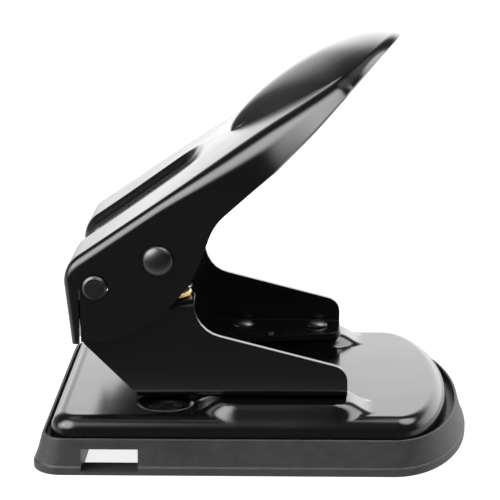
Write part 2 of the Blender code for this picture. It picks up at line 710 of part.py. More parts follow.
def build_punch(name, material, side):
    """A punch: hollow-ground cutting end, thicker stem, clip groove and flat top for the roller."""
    shoulder = PUNCH_TIP + CUTTING_LENGTH
    groove = STEM_RADIUS - CLIP_GROOVE_DEPTH
    groove_bottom = CLIP_BOTTOM - SEAT_GAP
    groove_top = CLIP_TOP + SEAT_GAP
    profile = [
        (PUNCH_RADIUS, PUNCH_TIP), (PUNCH_RADIUS, shoulder), (STEM_RADIUS, shoulder + STEM_RADIUS - PUNCH_RADIUS),
        (STEM_RADIUS, groove_bottom), (groove, groove_bottom), (groove, groove_top), (STEM_RADIUS, groove_top),
        (STEM_RADIUS, STEM_TOP - STEM_TOP_CHAMFER), (STEM_RADIUS - STEM_TOP_CHAMFER, STEM_TOP),
    ]
    punch = make_object(name, turned(profile), material)
    hollow = turned([(TIP_HOLLOW_RADIUS, -PUNCH_RADIUS * 2), (TIP_HOLLOW_RADIUS, PUNCH_RADIUS * 2)])
    cutter = make_object("hollow", along_y(hollow, 1), material)
    cutter.location = (0, 0, PUNCH_TIP + TIP_HOLLOW_DEPTH - TIP_HOLLOW_RADIUS)
    bpy.context.view_layer.update()
    boolean(punch, cutter, "DIFFERENCE")
    finish_cut_piece(punch)
    punch.location = (PUNCH_X, side * PUNCH_Y, 0)
    return punch


def build_guide(name, material, side):
    """The brass guide: a wide collar on the bracket's tab and a barrel through it."""
    bore = STEM_RADIUS + SEAT_GAP
    bottom = TAB_TOP + SEAT_GAP
    top = bottom + GUIDE_COLLAR_HEIGHT
    profile = [
        (bore, GUIDE_BOTTOM), (GUIDE_BARREL_RADIUS, GUIDE_BOTTOM), (GUIDE_BARREL_RADIUS, bottom),
        (GUIDE_COLLAR_RADIUS - GUIDE_EDGE, bottom), (GUIDE_COLLAR_RADIUS, bottom + GUIDE_EDGE),
        (GUIDE_COLLAR_RADIUS, top - GUIDE_EDGE), (GUIDE_COLLAR_RADIUS - GUIDE_EDGE, top), (bore, top),
    ]
    item = make_object(name, turned(profile, closed=True), material)
    item.location = (PUNCH_X, side * PUNCH_Y, 0)
    return item


def build_spring_washer(name, material, side):
    """The washer that carries the upper end of a return spring."""
    profile = ring_profile(STEM_RADIUS + SEAT_GAP, WASHER_RADIUS, WASHER_BOTTOM, WASHER_TOP)
    item = make_object(name, turned(profile, SMALL_ROUND_STEPS, closed=True), material)
    item.location = (PUNCH_X, side * PUNCH_Y, 0)
    return item


def open_ring(inner, outer, bottom, top, opening):
    """A snap ring: a ring from which a gap of a given width is left out, open towards +X."""
    half_gap = math.asin(opening / 2 / inner)
    mesh_builder = bmesh.new()
    rows = []
    for k in range(SMALL_ROUND_STEPS + 1):
        angle = half_gap + (2 * math.pi - 2 * half_gap) * k / SMALL_ROUND_STEPS
        rows.append([
            mesh_builder.verts.new((radius * math.cos(angle), radius * math.sin(angle), height))
            for radius, height in ((inner, bottom), (outer, bottom), (outer, top), (inner, top))
        ])
    for lower, upper in zip(rows, rows[1:]):
        for k in range(len(lower)):
            after = (k + 1) % len(lower)
            mesh_builder.faces.new((lower[k], lower[after], upper[after], upper[k]))
    mesh_builder.faces.new(list(reversed(rows[0])))
    mesh_builder.faces.new(rows[-1])
    return mesh_builder


def build_punch_clip(name, material, side):
    """The snap ring in the punch's groove."""
    inner = STEM_RADIUS - CLIP_GROOVE_DEPTH + SEAT_GAP
    item = make_object(name, open_ring(inner, CLIP_RADIUS, CLIP_BOTTOM, CLIP_TOP, CLIP_OPENING), material)
    item.location = (PUNCH_X, side * PUNCH_Y, 0)
    return item


def spring_points():
    """Points along the return spring: a short upright end, the coil and another upright end."""
    low = SPRING_BOTTOM + SPRING_WIRE
    high = SPRING_TOP - SPRING_WIRE
    count = SPRING_TURNS * SPRING_CURL_POINTS
    points = [Vector((SPRING_RADIUS, 0, SPRING_BOTTOM))]
    for k in range(count + 1):
        angle = 2 * math.pi * k / SPRING_CURL_POINTS
        height = low + (high - low) * k / count
        points.append(Vector((SPRING_RADIUS * math.cos(angle), SPRING_RADIUS * math.sin(angle), height)))
    points.append(Vector((SPRING_RADIUS, 0, SPRING_TOP)))
    return points


def least_gap(points):
    """The least distance between one turn of the wire and the next, less the wire."""
    turn = SPRING_CURL_POINTS
    nearest = min((points[k + turn] - points[k]).length for k in range(1, len(points) - turn - 1))
    return nearest - SPRING_WIRE


def build_spring(name, material, side):
    """One return spring as a single round wire along its helix."""
    curve = bpy.data.curves.new(name, "CURVE")
    curve.dimensions = "3D"
    curve.bevel_depth = SPRING_WIRE / 2
    curve.bevel_resolution = 1
    curve.use_fill_caps = True
    points = spring_points()
    spline = curve.splines.new("POLY")
    spline.points.add(len(points) - 1)
    for point, place in zip(spline.points, points):
        point.co = (*place, 1)
    curve.materials.append(material)
    item = bpy.data.objects.new(name, curve)
    bpy.context.collection.objects.link(item)
    item.location = (PUNCH_X, side * PUNCH_Y, 0)
    return item


def smooth_step(value):
    """0 below 0, 1 above 1 and an S-curve between them."""
    value = min(1.0, max(0.0, value))
    return value * value * (3 - 2 * value)


def lever_relief(along, across):
    """How far the lever's top stands above its plane at a distance along the slope and across it.

    The sum of a low crown, less the pressed channel, plus the palm rest, which starts at a point,
    widens to the whole lever and falls away to the end.
    """
    inner_half = top_half(along)
    crown_share = smooth_step((along - CROWN_START) / (CROWN_FULL - CROWN_START))
    end_share = 1 - smooth_step((along - WALL_END_AT) / LEVER_BOW)
    relief = CROWN_HEIGHT * crown_share * end_share * (1 - (across / inner_half) ** 2)
    beyond_wall = (RECESS_WIDTH / 2 - abs(across)) / RECESS_WALL
    before_end = (RECESS_END - along) / RECESS_RAMP
    relief -= RECESS_DEPTH * smooth_step(beyond_wall) * smooth_step(before_end)
    reach_share = (along - DOME_TIP) / (LEVER_LENGTH - LEVER_END_BEND - DOME_TIP)
    if 0 < reach_share < 1:
        inside = max(0.0, 1 - (across / crease_half(along)) ** 2)
        peak_at = DOME_RISE_SHARE / (DOME_RISE_SHARE + DOME_FALL_SHARE)
        peak = peak_at ** DOME_RISE_SHARE * (1 - peak_at) ** DOME_FALL_SHARE
        rise = reach_share ** DOME_RISE_SHARE * (1 - reach_share) ** DOME_FALL_SHARE / peak
        relief += DOME_HEIGHT * rise * inside ** DOME_SECTION_SHARE
    return relief


def lever_frame(along):
    """Place and outward direction on the lever's middle line, from the pivot, at a distance along it.

    Positive distances run up the straight top, negative ones round the front bend and down the apron.
    """
    direction = Vector((math.cos(LEVER_SLOPE), 0, math.sin(LEVER_SLOPE)))
    outward = Vector((-math.sin(LEVER_SLOPE), 0, math.cos(LEVER_SLOPE)))
    start = outward * LEVER_ABOVE_PIVOT + direction * LEVER_START_PAST_PIVOT
    if along >= 0:
        return start + direction * along, outward
    centre = start - outward * APRON_BEND_RADIUS
    turn = min(APRON_TURN, -along / APRON_BEND_RADIUS)
    rotation = Matrix.Rotation(-turn, 3, "Y")
    turned_outward = rotation @ outward
    beyond = max(0.0, -along - APRON_BEND_RADIUS * APRON_TURN)
    return centre + turned_outward * APRON_BEND_RADIUS - (rotation @ direction) * beyond, turned_outward


def edge_bend(along):
    """Radius of the bend between top and wall: small at the apron's foot and at the handle's tip."""
    apron_foot = -APRON_BEND_RADIUS * APRON_TURN - APRON_LENGTH
    if along < 0:
        share = along / apron_foot
        return LEVER_EDGE_BEND + (LEVER_APRON_EDGE_BEND - LEVER_EDGE_BEND) * share
    share = smooth_step((along - WALL_HANDLE_TURNS_AT) / (LEVER_LENGTH - WALL_HANDLE_TURNS_AT))
    return LEVER_EDGE_BEND + (LEVER_END_BEND - LEVER_EDGE_BEND) * share


def rim_depth(along):
    """How far the free edge lies below the top on the bowed end, where it rises towards the tip."""
    share = min(1.0, max(0.0, (along - WALL_END_AT) / LEVER_BOW))
    return WALL_TIP_DEPTH + (WALL_END_DEPTH - WALL_TIP_DEPTH) * (1 - share) ** WALL_TIP_POWER


def top_half(along):
    """Half the width of the lever's top between its edge bends."""
    return WALL_OUTER - edge_bend(along)


def crease_half(along):
    """Half the width at which the channel's wall ends and, further up, at which the palm rest starts."""
    if along < RECESS_END:
        return RECESS_WIDTH / 2
    if along < DOME_TIP:
        closing = smooth_step((along - RECESS_END) / (DOME_TIP - RECESS_END))
        return RECESS_WIDTH / 2 + (DOME_START_HALF - RECESS_WIDTH / 2) * closing
    widening = min(1.0, (along - DOME_TIP) / DOME_WIDENS_IN) ** DOME_OUTLINE_SHARE
    return DOME_START_HALF + (top_half(along) * DOME_FULL_SHARE - DOME_START_HALF) * widening


def column_place(share, along):
    """Where a column of the lever's top lies across it, so that one column follows the crease."""
    edge_share = RECESS_WIDTH / 2 / (WALL_OUTER - LEVER_EDGE_BEND)
    half = top_half(along)
    crease = crease_half(along)
    if abs(share) <= edge_share:
        return crease * share / edge_share
    beyond = (abs(share) - edge_share) / (1 - edge_share)
    return math.copysign(crease + (half - crease) * beyond, share)


def lever_stations():
    """Distances along the middle line at which the lever has a section."""
    bend = APRON_BEND_RADIUS * APRON_TURN
    apron = [-bend - APRON_LENGTH, -bend - APRON_LENGTH / 2]
    front = [-bend * (1 - k / CORNER_STEPS) for k in range(CORNER_STEPS)]
    recess_start = RECESS_END - RECESS_RAMP
    lower = [recess_start * k / TOP_ROWS for k in range(TOP_ROWS)]
    ramp = [recess_start + (DOME_TIP - recess_start) * k / RAMP_ROWS for k in range(RAMP_ROWS)]
    dome = [DOME_TIP + (WALL_END_AT - DOME_TIP) * k / DOME_ROWS for k in range(DOME_ROWS + 1)]
    return apron + front + lower + ramp + dome


def lever_columns():
    """Shares of the half width at which the lever's top has a point."""
    inner_half = WALL_OUTER - LEVER_EDGE_BEND
    edge = RECESS_WIDTH / 2 / inner_half
    wall = RECESS_WALL / inner_half
    floor = edge - wall
    half = [floor * k / FLOOR_COLUMNS for k in range(FLOOR_COLUMNS)]
    half += [floor + wall * share for share in RECESS_WALL_SHARES]
    half += [edge + (1 - edge) * k / LAND_COLUMNS for k in range(LAND_COLUMNS + 1)]
    return [-share for share in reversed(half[1:])] + half


def lever_skin(depth):
    """Top points, edge bends and wall lines of the lever at a depth into its sheet.

    Returns the rows of top points and the rings that follow from their rim: each ring runs up the
    near side, round the bowed end and back down the far side.
    """
    end_half = top_half(WALL_END_AT)
    bow = LEVER_BOW - LEVER_END_BEND
    columns = lever_columns()
    stations = lever_stations()
    straight_rows = len(stations)
    plan = [[(along, column_place(share, along)) for share in columns] for along in stations]
    for k in range(1, BOW_ROWS + 1):
        angle = BOW_LAST_ANGLE * k / BOW_ROWS
        row = []
        for share in columns:
            across = column_place(share, WALL_END_AT) * math.cos(angle)
            on_bow = bow * math.sqrt(1 - (across / end_half) ** 2)
            corner = bow * math.sin(angle)
            reach = corner + (on_bow - corner) * k / BOW_ROWS
            row.append((WALL_END_AT + reach, across))
        plan.append(row)
    rows = []
    for row in plan:
        line = []
        for along, across in row:
            place, outward = lever_frame(along)
            line.append(place + outward * (lever_relief(along, across) - depth) + Vector((0, across, 0)))
        rows.append(line)
    rim = [(i, 0) for i in range(len(rows))]
    rim += [(len(rows) - 1, j) for j in range(1, len(columns))]
    rim += [(i, len(columns) - 1) for i in reversed(range(len(rows) - 1))]
    rings = [[rows[i][j] for i, j in rim]]
    for k in range(1, BEND_STEPS + 1):
        angle = math.pi / 2 * k / BEND_STEPS
        ring = []
        for i, j in rim:
            along, across = plan[i][j]
            outward = lever_frame(along)[1]
            direction = Vector((outward.z, 0, -outward.x))
            sideways = Vector((0, math.copysign(1, across), 0))
            if i >= straight_rows:
                slope = (along - WALL_END_AT) / bow
                sideways = (direction * (slope / bow) + Vector((0, across / end_half ** 2, 0))).normalized()
            bend = edge_bend(along) - depth
            ring.append(rows[i][j] + sideways * (bend * math.sin(angle)) - outward * (bend * (1 - math.cos(angle))))
        rings.append(ring)
    rim_places = [plan[i][j][0] for i, j in rim]
    return rows, rings, straight_rows, rim_places


def wall_outline():
    """Lower outline of a side wall as X and Z from the pivot, from the apron to the handle's end."""
    toe_place, toe_outward = lever_frame(-APRON_BEND_RADIUS * APRON_TURN - APRON_LENGTH)
    corner = toe_place - toe_outward * (LEVER_APRON_EDGE_BEND + SLIT_BEHIND_BEND)
    slit_rear = corner.x + SLIT_WIDTH
    outline = [(corner.x, corner.z), (corner.x, -SLIT_TOP_BELOW_PIVOT), (slit_rear, -SLIT_TOP_BELOW_PIVOT)]
    outline.append((slit_rear, WALL_TOE_Z))
    outline += arc(WALL_QUADRANT_CENTRE, WALL_QUADRANT_RADIUS, WALL_QUADRANT_FROM, WALL_QUADRANT_TO, 12)
    end_place, end_outward = lever_frame(WALL_END_AT)
    end = end_place - end_outward * WALL_END_DEPTH
    knee_place, knee_outward = lever_frame(WALL_HANDLE_TURNS_AT)
    knee = knee_place - knee_outward * WALL_HANDLE_DEPTH
    start = Vector(outline[-1])
    throat = Vector(WALL_THROAT)
    finish = Vector((knee.x, knee.z))
    before = (start - throat).normalized()
    after = (finish - throat).normalized()
    half = before.angle(after) / 2
    centre = throat + (before + after).normalized() * (WALL_THROAT_ROUND / math.sin(half))
    first = throat + before * (WALL_THROAT_ROUND / math.tan(half)) - centre
    last = throat + after * (WALL_THROAT_ROUND / math.tan(half)) - centre
    turn = first.angle_signed(last)
    for k in range(CORNER_STEPS + 1):
        outline.append(tuple(centre + Matrix.Rotation(-turn * k / CORNER_STEPS, 2) @ first))
    outline += [(knee.x, knee.z), (end.x, end.z)]
    return outline


def build_lever(material):
    """The pressed lever: outer and inner skin over the same outline, joined along its free edges."""
    mesh_builder = bmesh.new()
    outline = wall_outline()
    edges_by_skin = []
    for depth in (0, LEVER_SHEET):
        rows, rings, straight_rows, rim_places = lever_skin(depth)
        top = [[mesh_builder.verts.new(point) for point in row] for row in rows]
        for lower, upper in zip(top, top[1:]):
            for k in range(len(lower) - 1):
                mesh_builder.faces.new((lower[k], lower[k + 1], upper[k + 1], upper[k]))
        last = len(rows) - 1
        columns = len(rows[0])
        ring = [top[i][0] for i in range(last + 1)]
        ring += [top[last][j] for j in range(1, columns)]
        ring += [top[i][columns - 1] for i in reversed(range(last))]
        start_edge = [list(top[0])]
        for points in rings[1:]:
            following = [mesh_builder.verts.new(point) for point in points]
            for k in range(len(ring) - 1):
                mesh_builder.faces.new((ring[k], ring[k + 1], following[k + 1], following[k]))
            ring = following
            start_edge.append([ring[0], ring[-1]])
        first_free = straight_rows - 1
        last_free = len(ring) - straight_rows
        lip = []
        outward = lever_frame(WALL_END_AT)[1]
        for k in range(first_free, last_free + 1):
            drop = rim_depth(rim_places[k]) - edge_bend(rim_places[k])
            lip.append(mesh_builder.verts.new(ring[k].co - outward * drop))
        for k in range(len(lip) - 1):
            a, b = ring[first_free + k], ring[first_free + k + 1]
            mesh_builder.faces.new((a, b, lip[k + 1], lip[k]))
        walls = []
        for side, run in ((-1, ring[:first_free + 1]), (1, list(reversed(ring[last_free:])))):
            corner = lip[0] if side < 0 else lip[-1]
            y = side * (WALL_OUTER - depth)
            lower = [mesh_builder.verts.new((x, y, z)) for x, z in outline[:-1]]
            mesh_builder.faces.new(run + [corner] + list(reversed(lower)))
            walls.append(lower + [corner])
        edges_by_skin.append((start_edge, walls, lip))
    outer, inner = edges_by_skin
    front_outer = front_edge(outer)
    front_inner = front_edge(inner)
    bridge(mesh_builder, front_outer, front_inner)
    for side in (0, 1):
        bridge(mesh_builder, outer[1][side], inner[1][side])
    bridge(mesh_builder, outer[2], inner[2])
    lever = make_object("lever", mesh_builder, material, LEVER_SMOOTH_ANGLE)
    for radius, x, z in ((PIVOT_RADIUS, 0, 0), (DRIVE_RADIUS, DRIVE_REACH, DRIVE_RISE)):
        length = WALL_OUTER + CUT_OVERRUN
        bore = along_y(turned([(radius + SEAT_GAP, -length), (radius + SEAT_GAP, length)], SMALL_ROUND_STEPS), 1)
        cutter = make_object("bore", bore, material)
        cutter.location = (x, 0, z)
        bpy.context.view_layer.update()
        boolean(lever, cutter, "DIFFERENCE")
    finish_cut_piece(lever, LEVER_SMOOTH_ANGLE)
    return lever


def front_edge(skin):
    """The free edge of one skin at the apron: up one wall line, along the bottom and back."""
    start_edge, walls, _ = skin
    near = [pair[0] for pair in reversed(start_edge[1:])]
    far = [pair[1] for pair in start_edge[1:]]
    return [walls[0][0]] + near + start_edge[0] + far + [walls[1][0]]


def bridge(mesh_builder, first, second):
    """Faces between two lines of equally many points."""
    for k in range(len(first) - 1):
        mesh_builder.faces.new((first[k], first[k + 1], second[k + 1], second[k]))


def build_shaft(name, material, profile):
    """A shaft turned about Z from a half profile, mirrored in its middle and laid along Y."""
    whole = [(radius, -length) for radius, length in reversed(profile)] + profile
    return make_object(name, along_y(turned(whole, ROUND_STEPS), 1), material)


def build_pivot_shaft(material):
    """The pivot shaft with chamfered flat ends and a groove for the clip inside each bracket."""
    end = WALL_OUTER + PIVOT_PROUD
    groove = PIVOT_RADIUS - PIVOT_GROOVE_DEPTH
    clip_outer = CHEEK_INNER - SEAT_GAP
    clip_inner = clip_outer - PIVOT_CLIP_THICKNESS
    profile = [
        (PIVOT_RADIUS, clip_inner - SEAT_GAP), (groove, clip_inner - SEAT_GAP), (groove, CHEEK_INNER),
        (PIVOT_RADIUS, CHEEK_INNER), (PIVOT_RADIUS, end - PIVOT_CHAMFER), (PIVOT_RADIUS - PIVOT_CHAMFER, end),
    ]
    shaft = build_shaft("pivot_shaft", material, profile)
    shaft.location = (PIVOT_X, 0, PIVOT_Z)
    return shaft


def build_drive_shaft(material):
    """The drive shaft, whose ends stand in the caps."""
    end = WALL_OUTER + CAP_BORE_DEPTH
    return build_shaft("drive_shaft", material, [(DRIVE_RADIUS, end - PIVOT_CHAMFER / 2),
                                                 (DRIVE_RADIUS - PIVOT_CHAMFER / 2, end)])


def build_cap(name, material, side):
    """A domed cap with a blind bore, pushed on the drive shaft against the lever's wall."""
    start = WALL_OUTER + SEAT_GAP
    bore = DRIVE_RADIUS + SEAT_GAP
    bore_end = WALL_OUTER + CAP_BORE_DEPTH + SEAT_GAP
    rise = CAP_HEIGHT - CAP_SKIRT
    profile = [(bore / 2, bore_end), (bore, bore_end), (bore, start), (CAP_RADIUS - CAP_EDGE, start),
               (CAP_RADIUS, start + CAP_EDGE)]
    for k in range(BEND_STEPS):
        angle = math.pi / 2 * k / BEND_STEPS
        profile.append((CAP_RADIUS * math.cos(angle), start + CAP_SKIRT + rise * math.sin(angle)))
    return make_object(name, along_y(turned(profile, SMALL_ROUND_STEPS), side), material)


def build_roller(name, material, side):
    """A roller on the drive shaft that bears on a punch."""
    low = PUNCH_Y - ROLLER_LENGTH / 2
    profile = ring_profile(DRIVE_RADIUS + SEAT_GAP, ROLLER_RADIUS, low, low + ROLLER_LENGTH)
    return make_object(name, along_y(turned(profile, SMALL_ROUND_STEPS, closed=True), side), material)


def build_pivot_washer(name, material, side):
    """A thin washer between a bracket and the lever's wall."""
    low = CHEEK_OUTER + SEAT_GAP
    high = WALL_INNER - SEAT_GAP
    profile = ring_profile(PIVOT_RADIUS + SEAT_GAP, PIVOT_WASHER_RADIUS, low, high)
    item = make_object(name, along_y(turned(profile, SMALL_ROUND_STEPS, closed=True), side), material)
    item.location = (PIVOT_X, 0, PIVOT_Z)
    return item


def build_pivot_clip(name, material, side):
    """The snap ring on the pivot shaft inside a bracket."""
    high = CHEEK_INNER - SEAT_GAP
    inner = PIVOT_RADIUS - PIVOT_GROOVE_DEPTH + SEAT_GAP
    ring = open_ring(inner, PIVOT_CLIP_RADIUS, high - PIVOT_CLIP_THICKNESS, high, PIVOT_CLIP_OPENING)
    item = make_object(name, along_y(ring, side), material)
    item.location = (PIVOT_X, 0, PIVOT_Z)
    return item


def main():
    """Builds every piece and hangs the moving ones on empties at their joints."""
    clear_scene()
    black = make_material("satin_black_paint", (0.012, 0.012, 0.013), 0.28, 0.0)
    plastic = make_material("grey_plastic", (0.045, 0.045, 0.048), 0.62, 0.0)
    steel = make_material("bright_steel", (0.62, 0.62, 0.64), 0.28, 1.0)
    dark = make_material("blackened_steel", (0.10, 0.10, 0.105), 0.34, 1.0)
    hard = make_material("ground_steel", (0.50, 0.50, 0.52), 0.22, 1.0)
    brass = make_material("brass", (0.72, 0.52, 0.22), 0.25, 1.0)
    wire = make_material("spring_wire", (0.55, 0.56, 0.60), 0.30, 1.0)

    build_tray(plastic)
    build_plate(black)
    lever_pivot = bpy.data.objects.new("lever_pivot", None)
    lever_pivot.location = (PIVOT_X, 0, PIVOT_Z)
    bpy.context.collection.objects.link(lever_pivot)
    lever_pieces = [build_lever(black)]
    drive = build_drive_shaft(steel)
    drive.location = (DRIVE_REACH, 0, DRIVE_RISE)
    lever_pieces.append(drive)
    build_pivot_shaft(dark)

    for side, word in ((-1, "near"), (1, "far")):
        build_bracket(f"bracket_{word}", black, side)
        build_rivet(f"rivet_{word}_front", dark, RIVET_FRONT, side)
        build_rivet(f"rivet_{word}_rear", dark, RIVET_REAR, side)
        build_die(f"die_{word}", hard, side)
        build_guide(f"punch_guide_{word}", brass, side)
        build_punch(f"punch_{word}", hard, side)
        build_punch_clip(f"punch_clip_{word}", steel, side)
        build_spring_washer(f"spring_washer_{word}", steel, side)
        build_spring(f"return_spring_{word}", wire, side)
        build_pivot_washer(f"pivot_washer_{word}", steel, side)
        build_pivot_clip(f"pivot_clip_{word}", steel, side)
        for piece in (build_cap(f"shaft_cap_{word}", dark, side), build_roller(f"roller_{word}", hard, side)):
            piece.location = (DRIVE_REACH, 0, DRIVE_RISE)
            lever_pieces.append(piece)

    for piece in lever_pieces:
        piece.parent = lever_pivot
    bpy.context.view_layer.update()
    print(f"stroke {STROKE * 1000:.3f} mm, ratio {STROKE / LEVER_TRAVEL:.6f} m/rad")
    print(f"least gap in a spring {least_gap(spring_points()) * 1000:.2f} mm")
    print(f"spring from {SPRING_BOTTOM * 1000:.3f} to {SPRING_TOP * 1000:.3f} mm")


main()
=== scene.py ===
"""Looks of the two-hole punch: enamelled pressings, moulded tray, turned pins and wound springs.

Metres, +Z up, in the frame of the construction. Paper enters from -X and the lever rises towards +X.
"""
import json
import math

import bmesh
import bpy
import numpy as np
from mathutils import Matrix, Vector


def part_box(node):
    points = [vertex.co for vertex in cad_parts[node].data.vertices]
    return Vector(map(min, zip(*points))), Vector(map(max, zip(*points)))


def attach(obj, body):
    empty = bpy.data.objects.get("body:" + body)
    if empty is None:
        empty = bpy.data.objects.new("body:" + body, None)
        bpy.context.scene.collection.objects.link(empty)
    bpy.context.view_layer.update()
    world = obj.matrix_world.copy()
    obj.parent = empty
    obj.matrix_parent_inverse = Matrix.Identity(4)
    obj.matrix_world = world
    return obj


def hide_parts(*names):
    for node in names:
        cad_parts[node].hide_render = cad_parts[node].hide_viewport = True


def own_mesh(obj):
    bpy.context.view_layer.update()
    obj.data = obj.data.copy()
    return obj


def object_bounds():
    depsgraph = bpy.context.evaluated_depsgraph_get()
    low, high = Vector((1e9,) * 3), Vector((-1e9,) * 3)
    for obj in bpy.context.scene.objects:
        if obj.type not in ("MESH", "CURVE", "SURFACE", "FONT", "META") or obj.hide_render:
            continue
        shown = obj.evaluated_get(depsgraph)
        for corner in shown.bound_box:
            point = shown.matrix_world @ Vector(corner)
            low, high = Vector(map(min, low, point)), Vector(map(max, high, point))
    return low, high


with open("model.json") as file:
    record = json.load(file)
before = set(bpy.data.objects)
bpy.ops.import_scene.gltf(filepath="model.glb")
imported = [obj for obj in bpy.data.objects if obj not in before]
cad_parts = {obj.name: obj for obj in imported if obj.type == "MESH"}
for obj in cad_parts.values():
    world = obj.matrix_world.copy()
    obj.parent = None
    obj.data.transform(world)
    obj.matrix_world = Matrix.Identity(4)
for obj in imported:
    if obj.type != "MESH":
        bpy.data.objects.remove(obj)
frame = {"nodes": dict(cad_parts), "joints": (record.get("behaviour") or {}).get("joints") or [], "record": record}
CAD_LOW, CAD_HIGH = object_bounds()

NODES = frame["nodes"]
JOINTS = {joint["name"]: joint for joint in frame["joints"]}
SIDES = {"near": -1, "far": 1}
RIVETS = [f"rivet_{word}_{end}" for word in SIDES for end in ("front", "rear")]

MERGE_DISTANCE = 2e-6
CUT_OVERRUN = 0.002
SEAT_GAP = 0.0003
SMOOTH_ANGLE = math.radians(38)

# Lever: sheet and middle line, measured from the hinge
HINGE = np.array(JOINTS["lever_hinge"]["pos_m"])
WALL_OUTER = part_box("lever")[1].y
LEVER_SHEET = 0.0020
LEVER_SLOPE = math.radians(34.2)
LEVER_ABOVE_PIVOT = 0.01255
LEVER_START_PAST_PIVOT = 0.0007
LEVER_LENGTH = 0.1390
LEVER_BOW = 0.0310
WALL_END_AT = LEVER_LENGTH - LEVER_BOW
FRONT_BEND_RADIUS = 0.0110
FRONT_TURN = math.radians(62.5)
APRON_LENGTH = 0.0217
APRON_FOOT = -FRONT_BEND_RADIUS * FRONT_TURN - APRON_LENGTH

# Lever: bend between top and walls, which grows up the handle, and the walls' lean
EDGE_BEND = 0.0042
APRON_EDGE_BEND = 0.0025
BEND_GROWS_FROM = 0.0300
BEND_FULL_AT = 0.0780
HANDLE_EDGE_BEND = 0.0086
BEND_SHRINKS_FROM = 0.0980
TIP_EDGE_BEND = 0.0040
BEND_DEPTH_SHARE = 0.95
END_HALF = 0.0445
TIP_REACH = 0.0024
LEAN = math.radians(30)
TIP_LEAN = math.radians(24)
LEAN_FROM = 0.0450
LEAN_FULL = 0.1000

# Lever: channel, crown and palm rest on its top
CHANNEL_HALF = 0.0210
CHANNEL_DEPTH = 0.0030
CHANNEL_WALL = 0.0060
CHANNEL_END = 0.0530
CHANNEL_RAMP = 0.0100
CHANNEL_CORNER = 0.0130
CROWN_HEIGHT = 0.0009
CROWN_START = 0.0050
CROWN_FULL = 0.0580
REST_TIP = 0.0650
REST_HEIGHT = 0.0073
REST_WIDENS_IN = 0.0500
REST_RISE_SHARE = 0.65
REST_FALL_SHARE = 0.70
REST_OUTLINE_POWER = 1.5
REST_ROUNDING = 0.80
REST_SECTION_SHARE = 0.85
REST_START_HALF = 0.0050
REST_FULL_SHARE = 0.95
REST_MERGES_FROM = 0.0960
REST_MERGES_AT = 0.1120
REST_MERGED_SHARE = 0.997
REST_SLOPE_STEP = 0.0010
REST_STEEPEST = math.radians(42)
REST_STEEP_AT = 0.1340
TIP_DROOP = 0.0020
DROOPS_FROM = 0.1120

# Lever: lower outline of its walls, slit beside the apron and bores
SLIT_WIDTH = 0.0006
SLIT_BEHIND_BEND = 0.0003
SLIT_TOP_BELOW_PIVOT = 0.0010
WALL_TOE_Z = -0.02005
QUADRANT_CENTRE = (-0.0076, 0.0271)
QUADRANT_RADIUS = 0.0484
QUADRANT_FROM = math.radians(-76)
QUADRANT_TO = math.radians(-20)
THROAT = (0.04235, 0.0227)
THROAT_ROUND = 0.0200
KNEE_AT = 0.0752
KNEE_DEPTH = 0.0139
END_DEPTH = 0.0059
TIP_DEPTH = 0.0026
TIP_POWER = 2.6
PIVOT_RADIUS = 0.00435
DRIVE_RADIUS = 0.0030
DRIVE_PLACE = (0.0226, 0.0101)
CUT_EDGE_ROUND = 0.0004
LEVER_CUT_ANGLE = math.radians(55)

# Lever: rows and columns of its skin
APRON_ROWS = 22
FRONT_ROWS = 20
SLOPE_ROWS = 24
RAMP_ROWS = 44
REST_ROWS = 62
BOW_ROWS = 34
BOW_CORNER = math.radians(52)
FLOOR_COLUMNS = 12
CHANNEL_WALL_COLUMNS = 12
LAND_COLUMNS = 30
BEND_STEPS = 15
STRIP_STEPS = 4
WALL_STEPS = 26
QUADRANT_STEPS = 90
THROAT_STEPS = 40

# Brackets
BRACKET_EDGE_ROUND = 0.0006
BRACKET_CUT_ANGLE = math.radians(50)
FLAT_WITHIN = math.radians(0.5)

# Base plate
PLATE_LOW, PLATE_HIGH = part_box("base_plate")
PLATE_TOP = 0.0195
PLATE_SHEET = 0.0020
PLATE_CORNER = 0.0100
PLATE_BOW = 0.0220
PLATE_SHOULDER = 0.0055
PLATE_DRAFT = 0.0006
PLATFORM_RISE = 0.0042
PLATFORM_LEFT = -0.0120
PLATFORM_RIGHT = 0.0326
PLATFORM_INNER = 0.0340
PLATFORM_OUTER = 0.0545
PLATFORM_CORNER = 0.0050
RISER_RUN = 0.0100
RISER_SIDE_RUN = 0.0040
DISH_DEPTH = 0.0012
DISH_FLOOR_RADIUS = 0.0086
DISH_RIM_RADIUS = 0.0104
SHOULDER_STEPS = 12

# Base plate: spacing of its relief, finer over the dishes and the risers
PLATE_ROW_SPACING = 0.0012
PLATE_FINE_ROW_SPACING = 0.0005
PLATE_COLUMN_SPACING = 0.0015
PLATE_FINE_COLUMN_SPACING = 0.0006
FINE_BEFORE_DIE = 0.012
FINE_PAST_RISER = 0.002
FINE_INSIDE_PLATFORM = 0.006

# Tray
TRAY_LOW, TRAY_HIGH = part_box("base_tray")
TRAY_HEIGHT = 0.0132
TRAY_FLOOR = 0.0020
TRAY_CORNER = 0.0110
LEAST_CORNER_SHARE = 0.25
TRAY_BOW = 0.0310
TRAY_FOOT_ROUND = 0.0008
TRAY_STEP_HEIGHT = 0.0030
TRAY_STEP = 0.0006
STEP_CURVE_SHARES = ((-1 / 2, 0), (0, 1 / 6), (1 / 2, 5 / 6), (1, 1))
TRAY_END_TAPER = 0.0028
TRAY_SIDE_TAPER = 0.0012
TRAY_RIM = 0.0017
TRAY_RIM_ROUND_SHARE = 0.25
TRAY_LEDGE_HEIGHT = 0.0102
TRAY_LEDGE = 0.0045
TRAY_CAVITY_DRAFT = 0.0010
SLOT_LEFT = -0.0620
SLOT_WIDTH = 0.0203
SLOT_SILL = 0.0015
SLOT_HEIGHT = 0.0080
SLOT_WALL = 0.0025
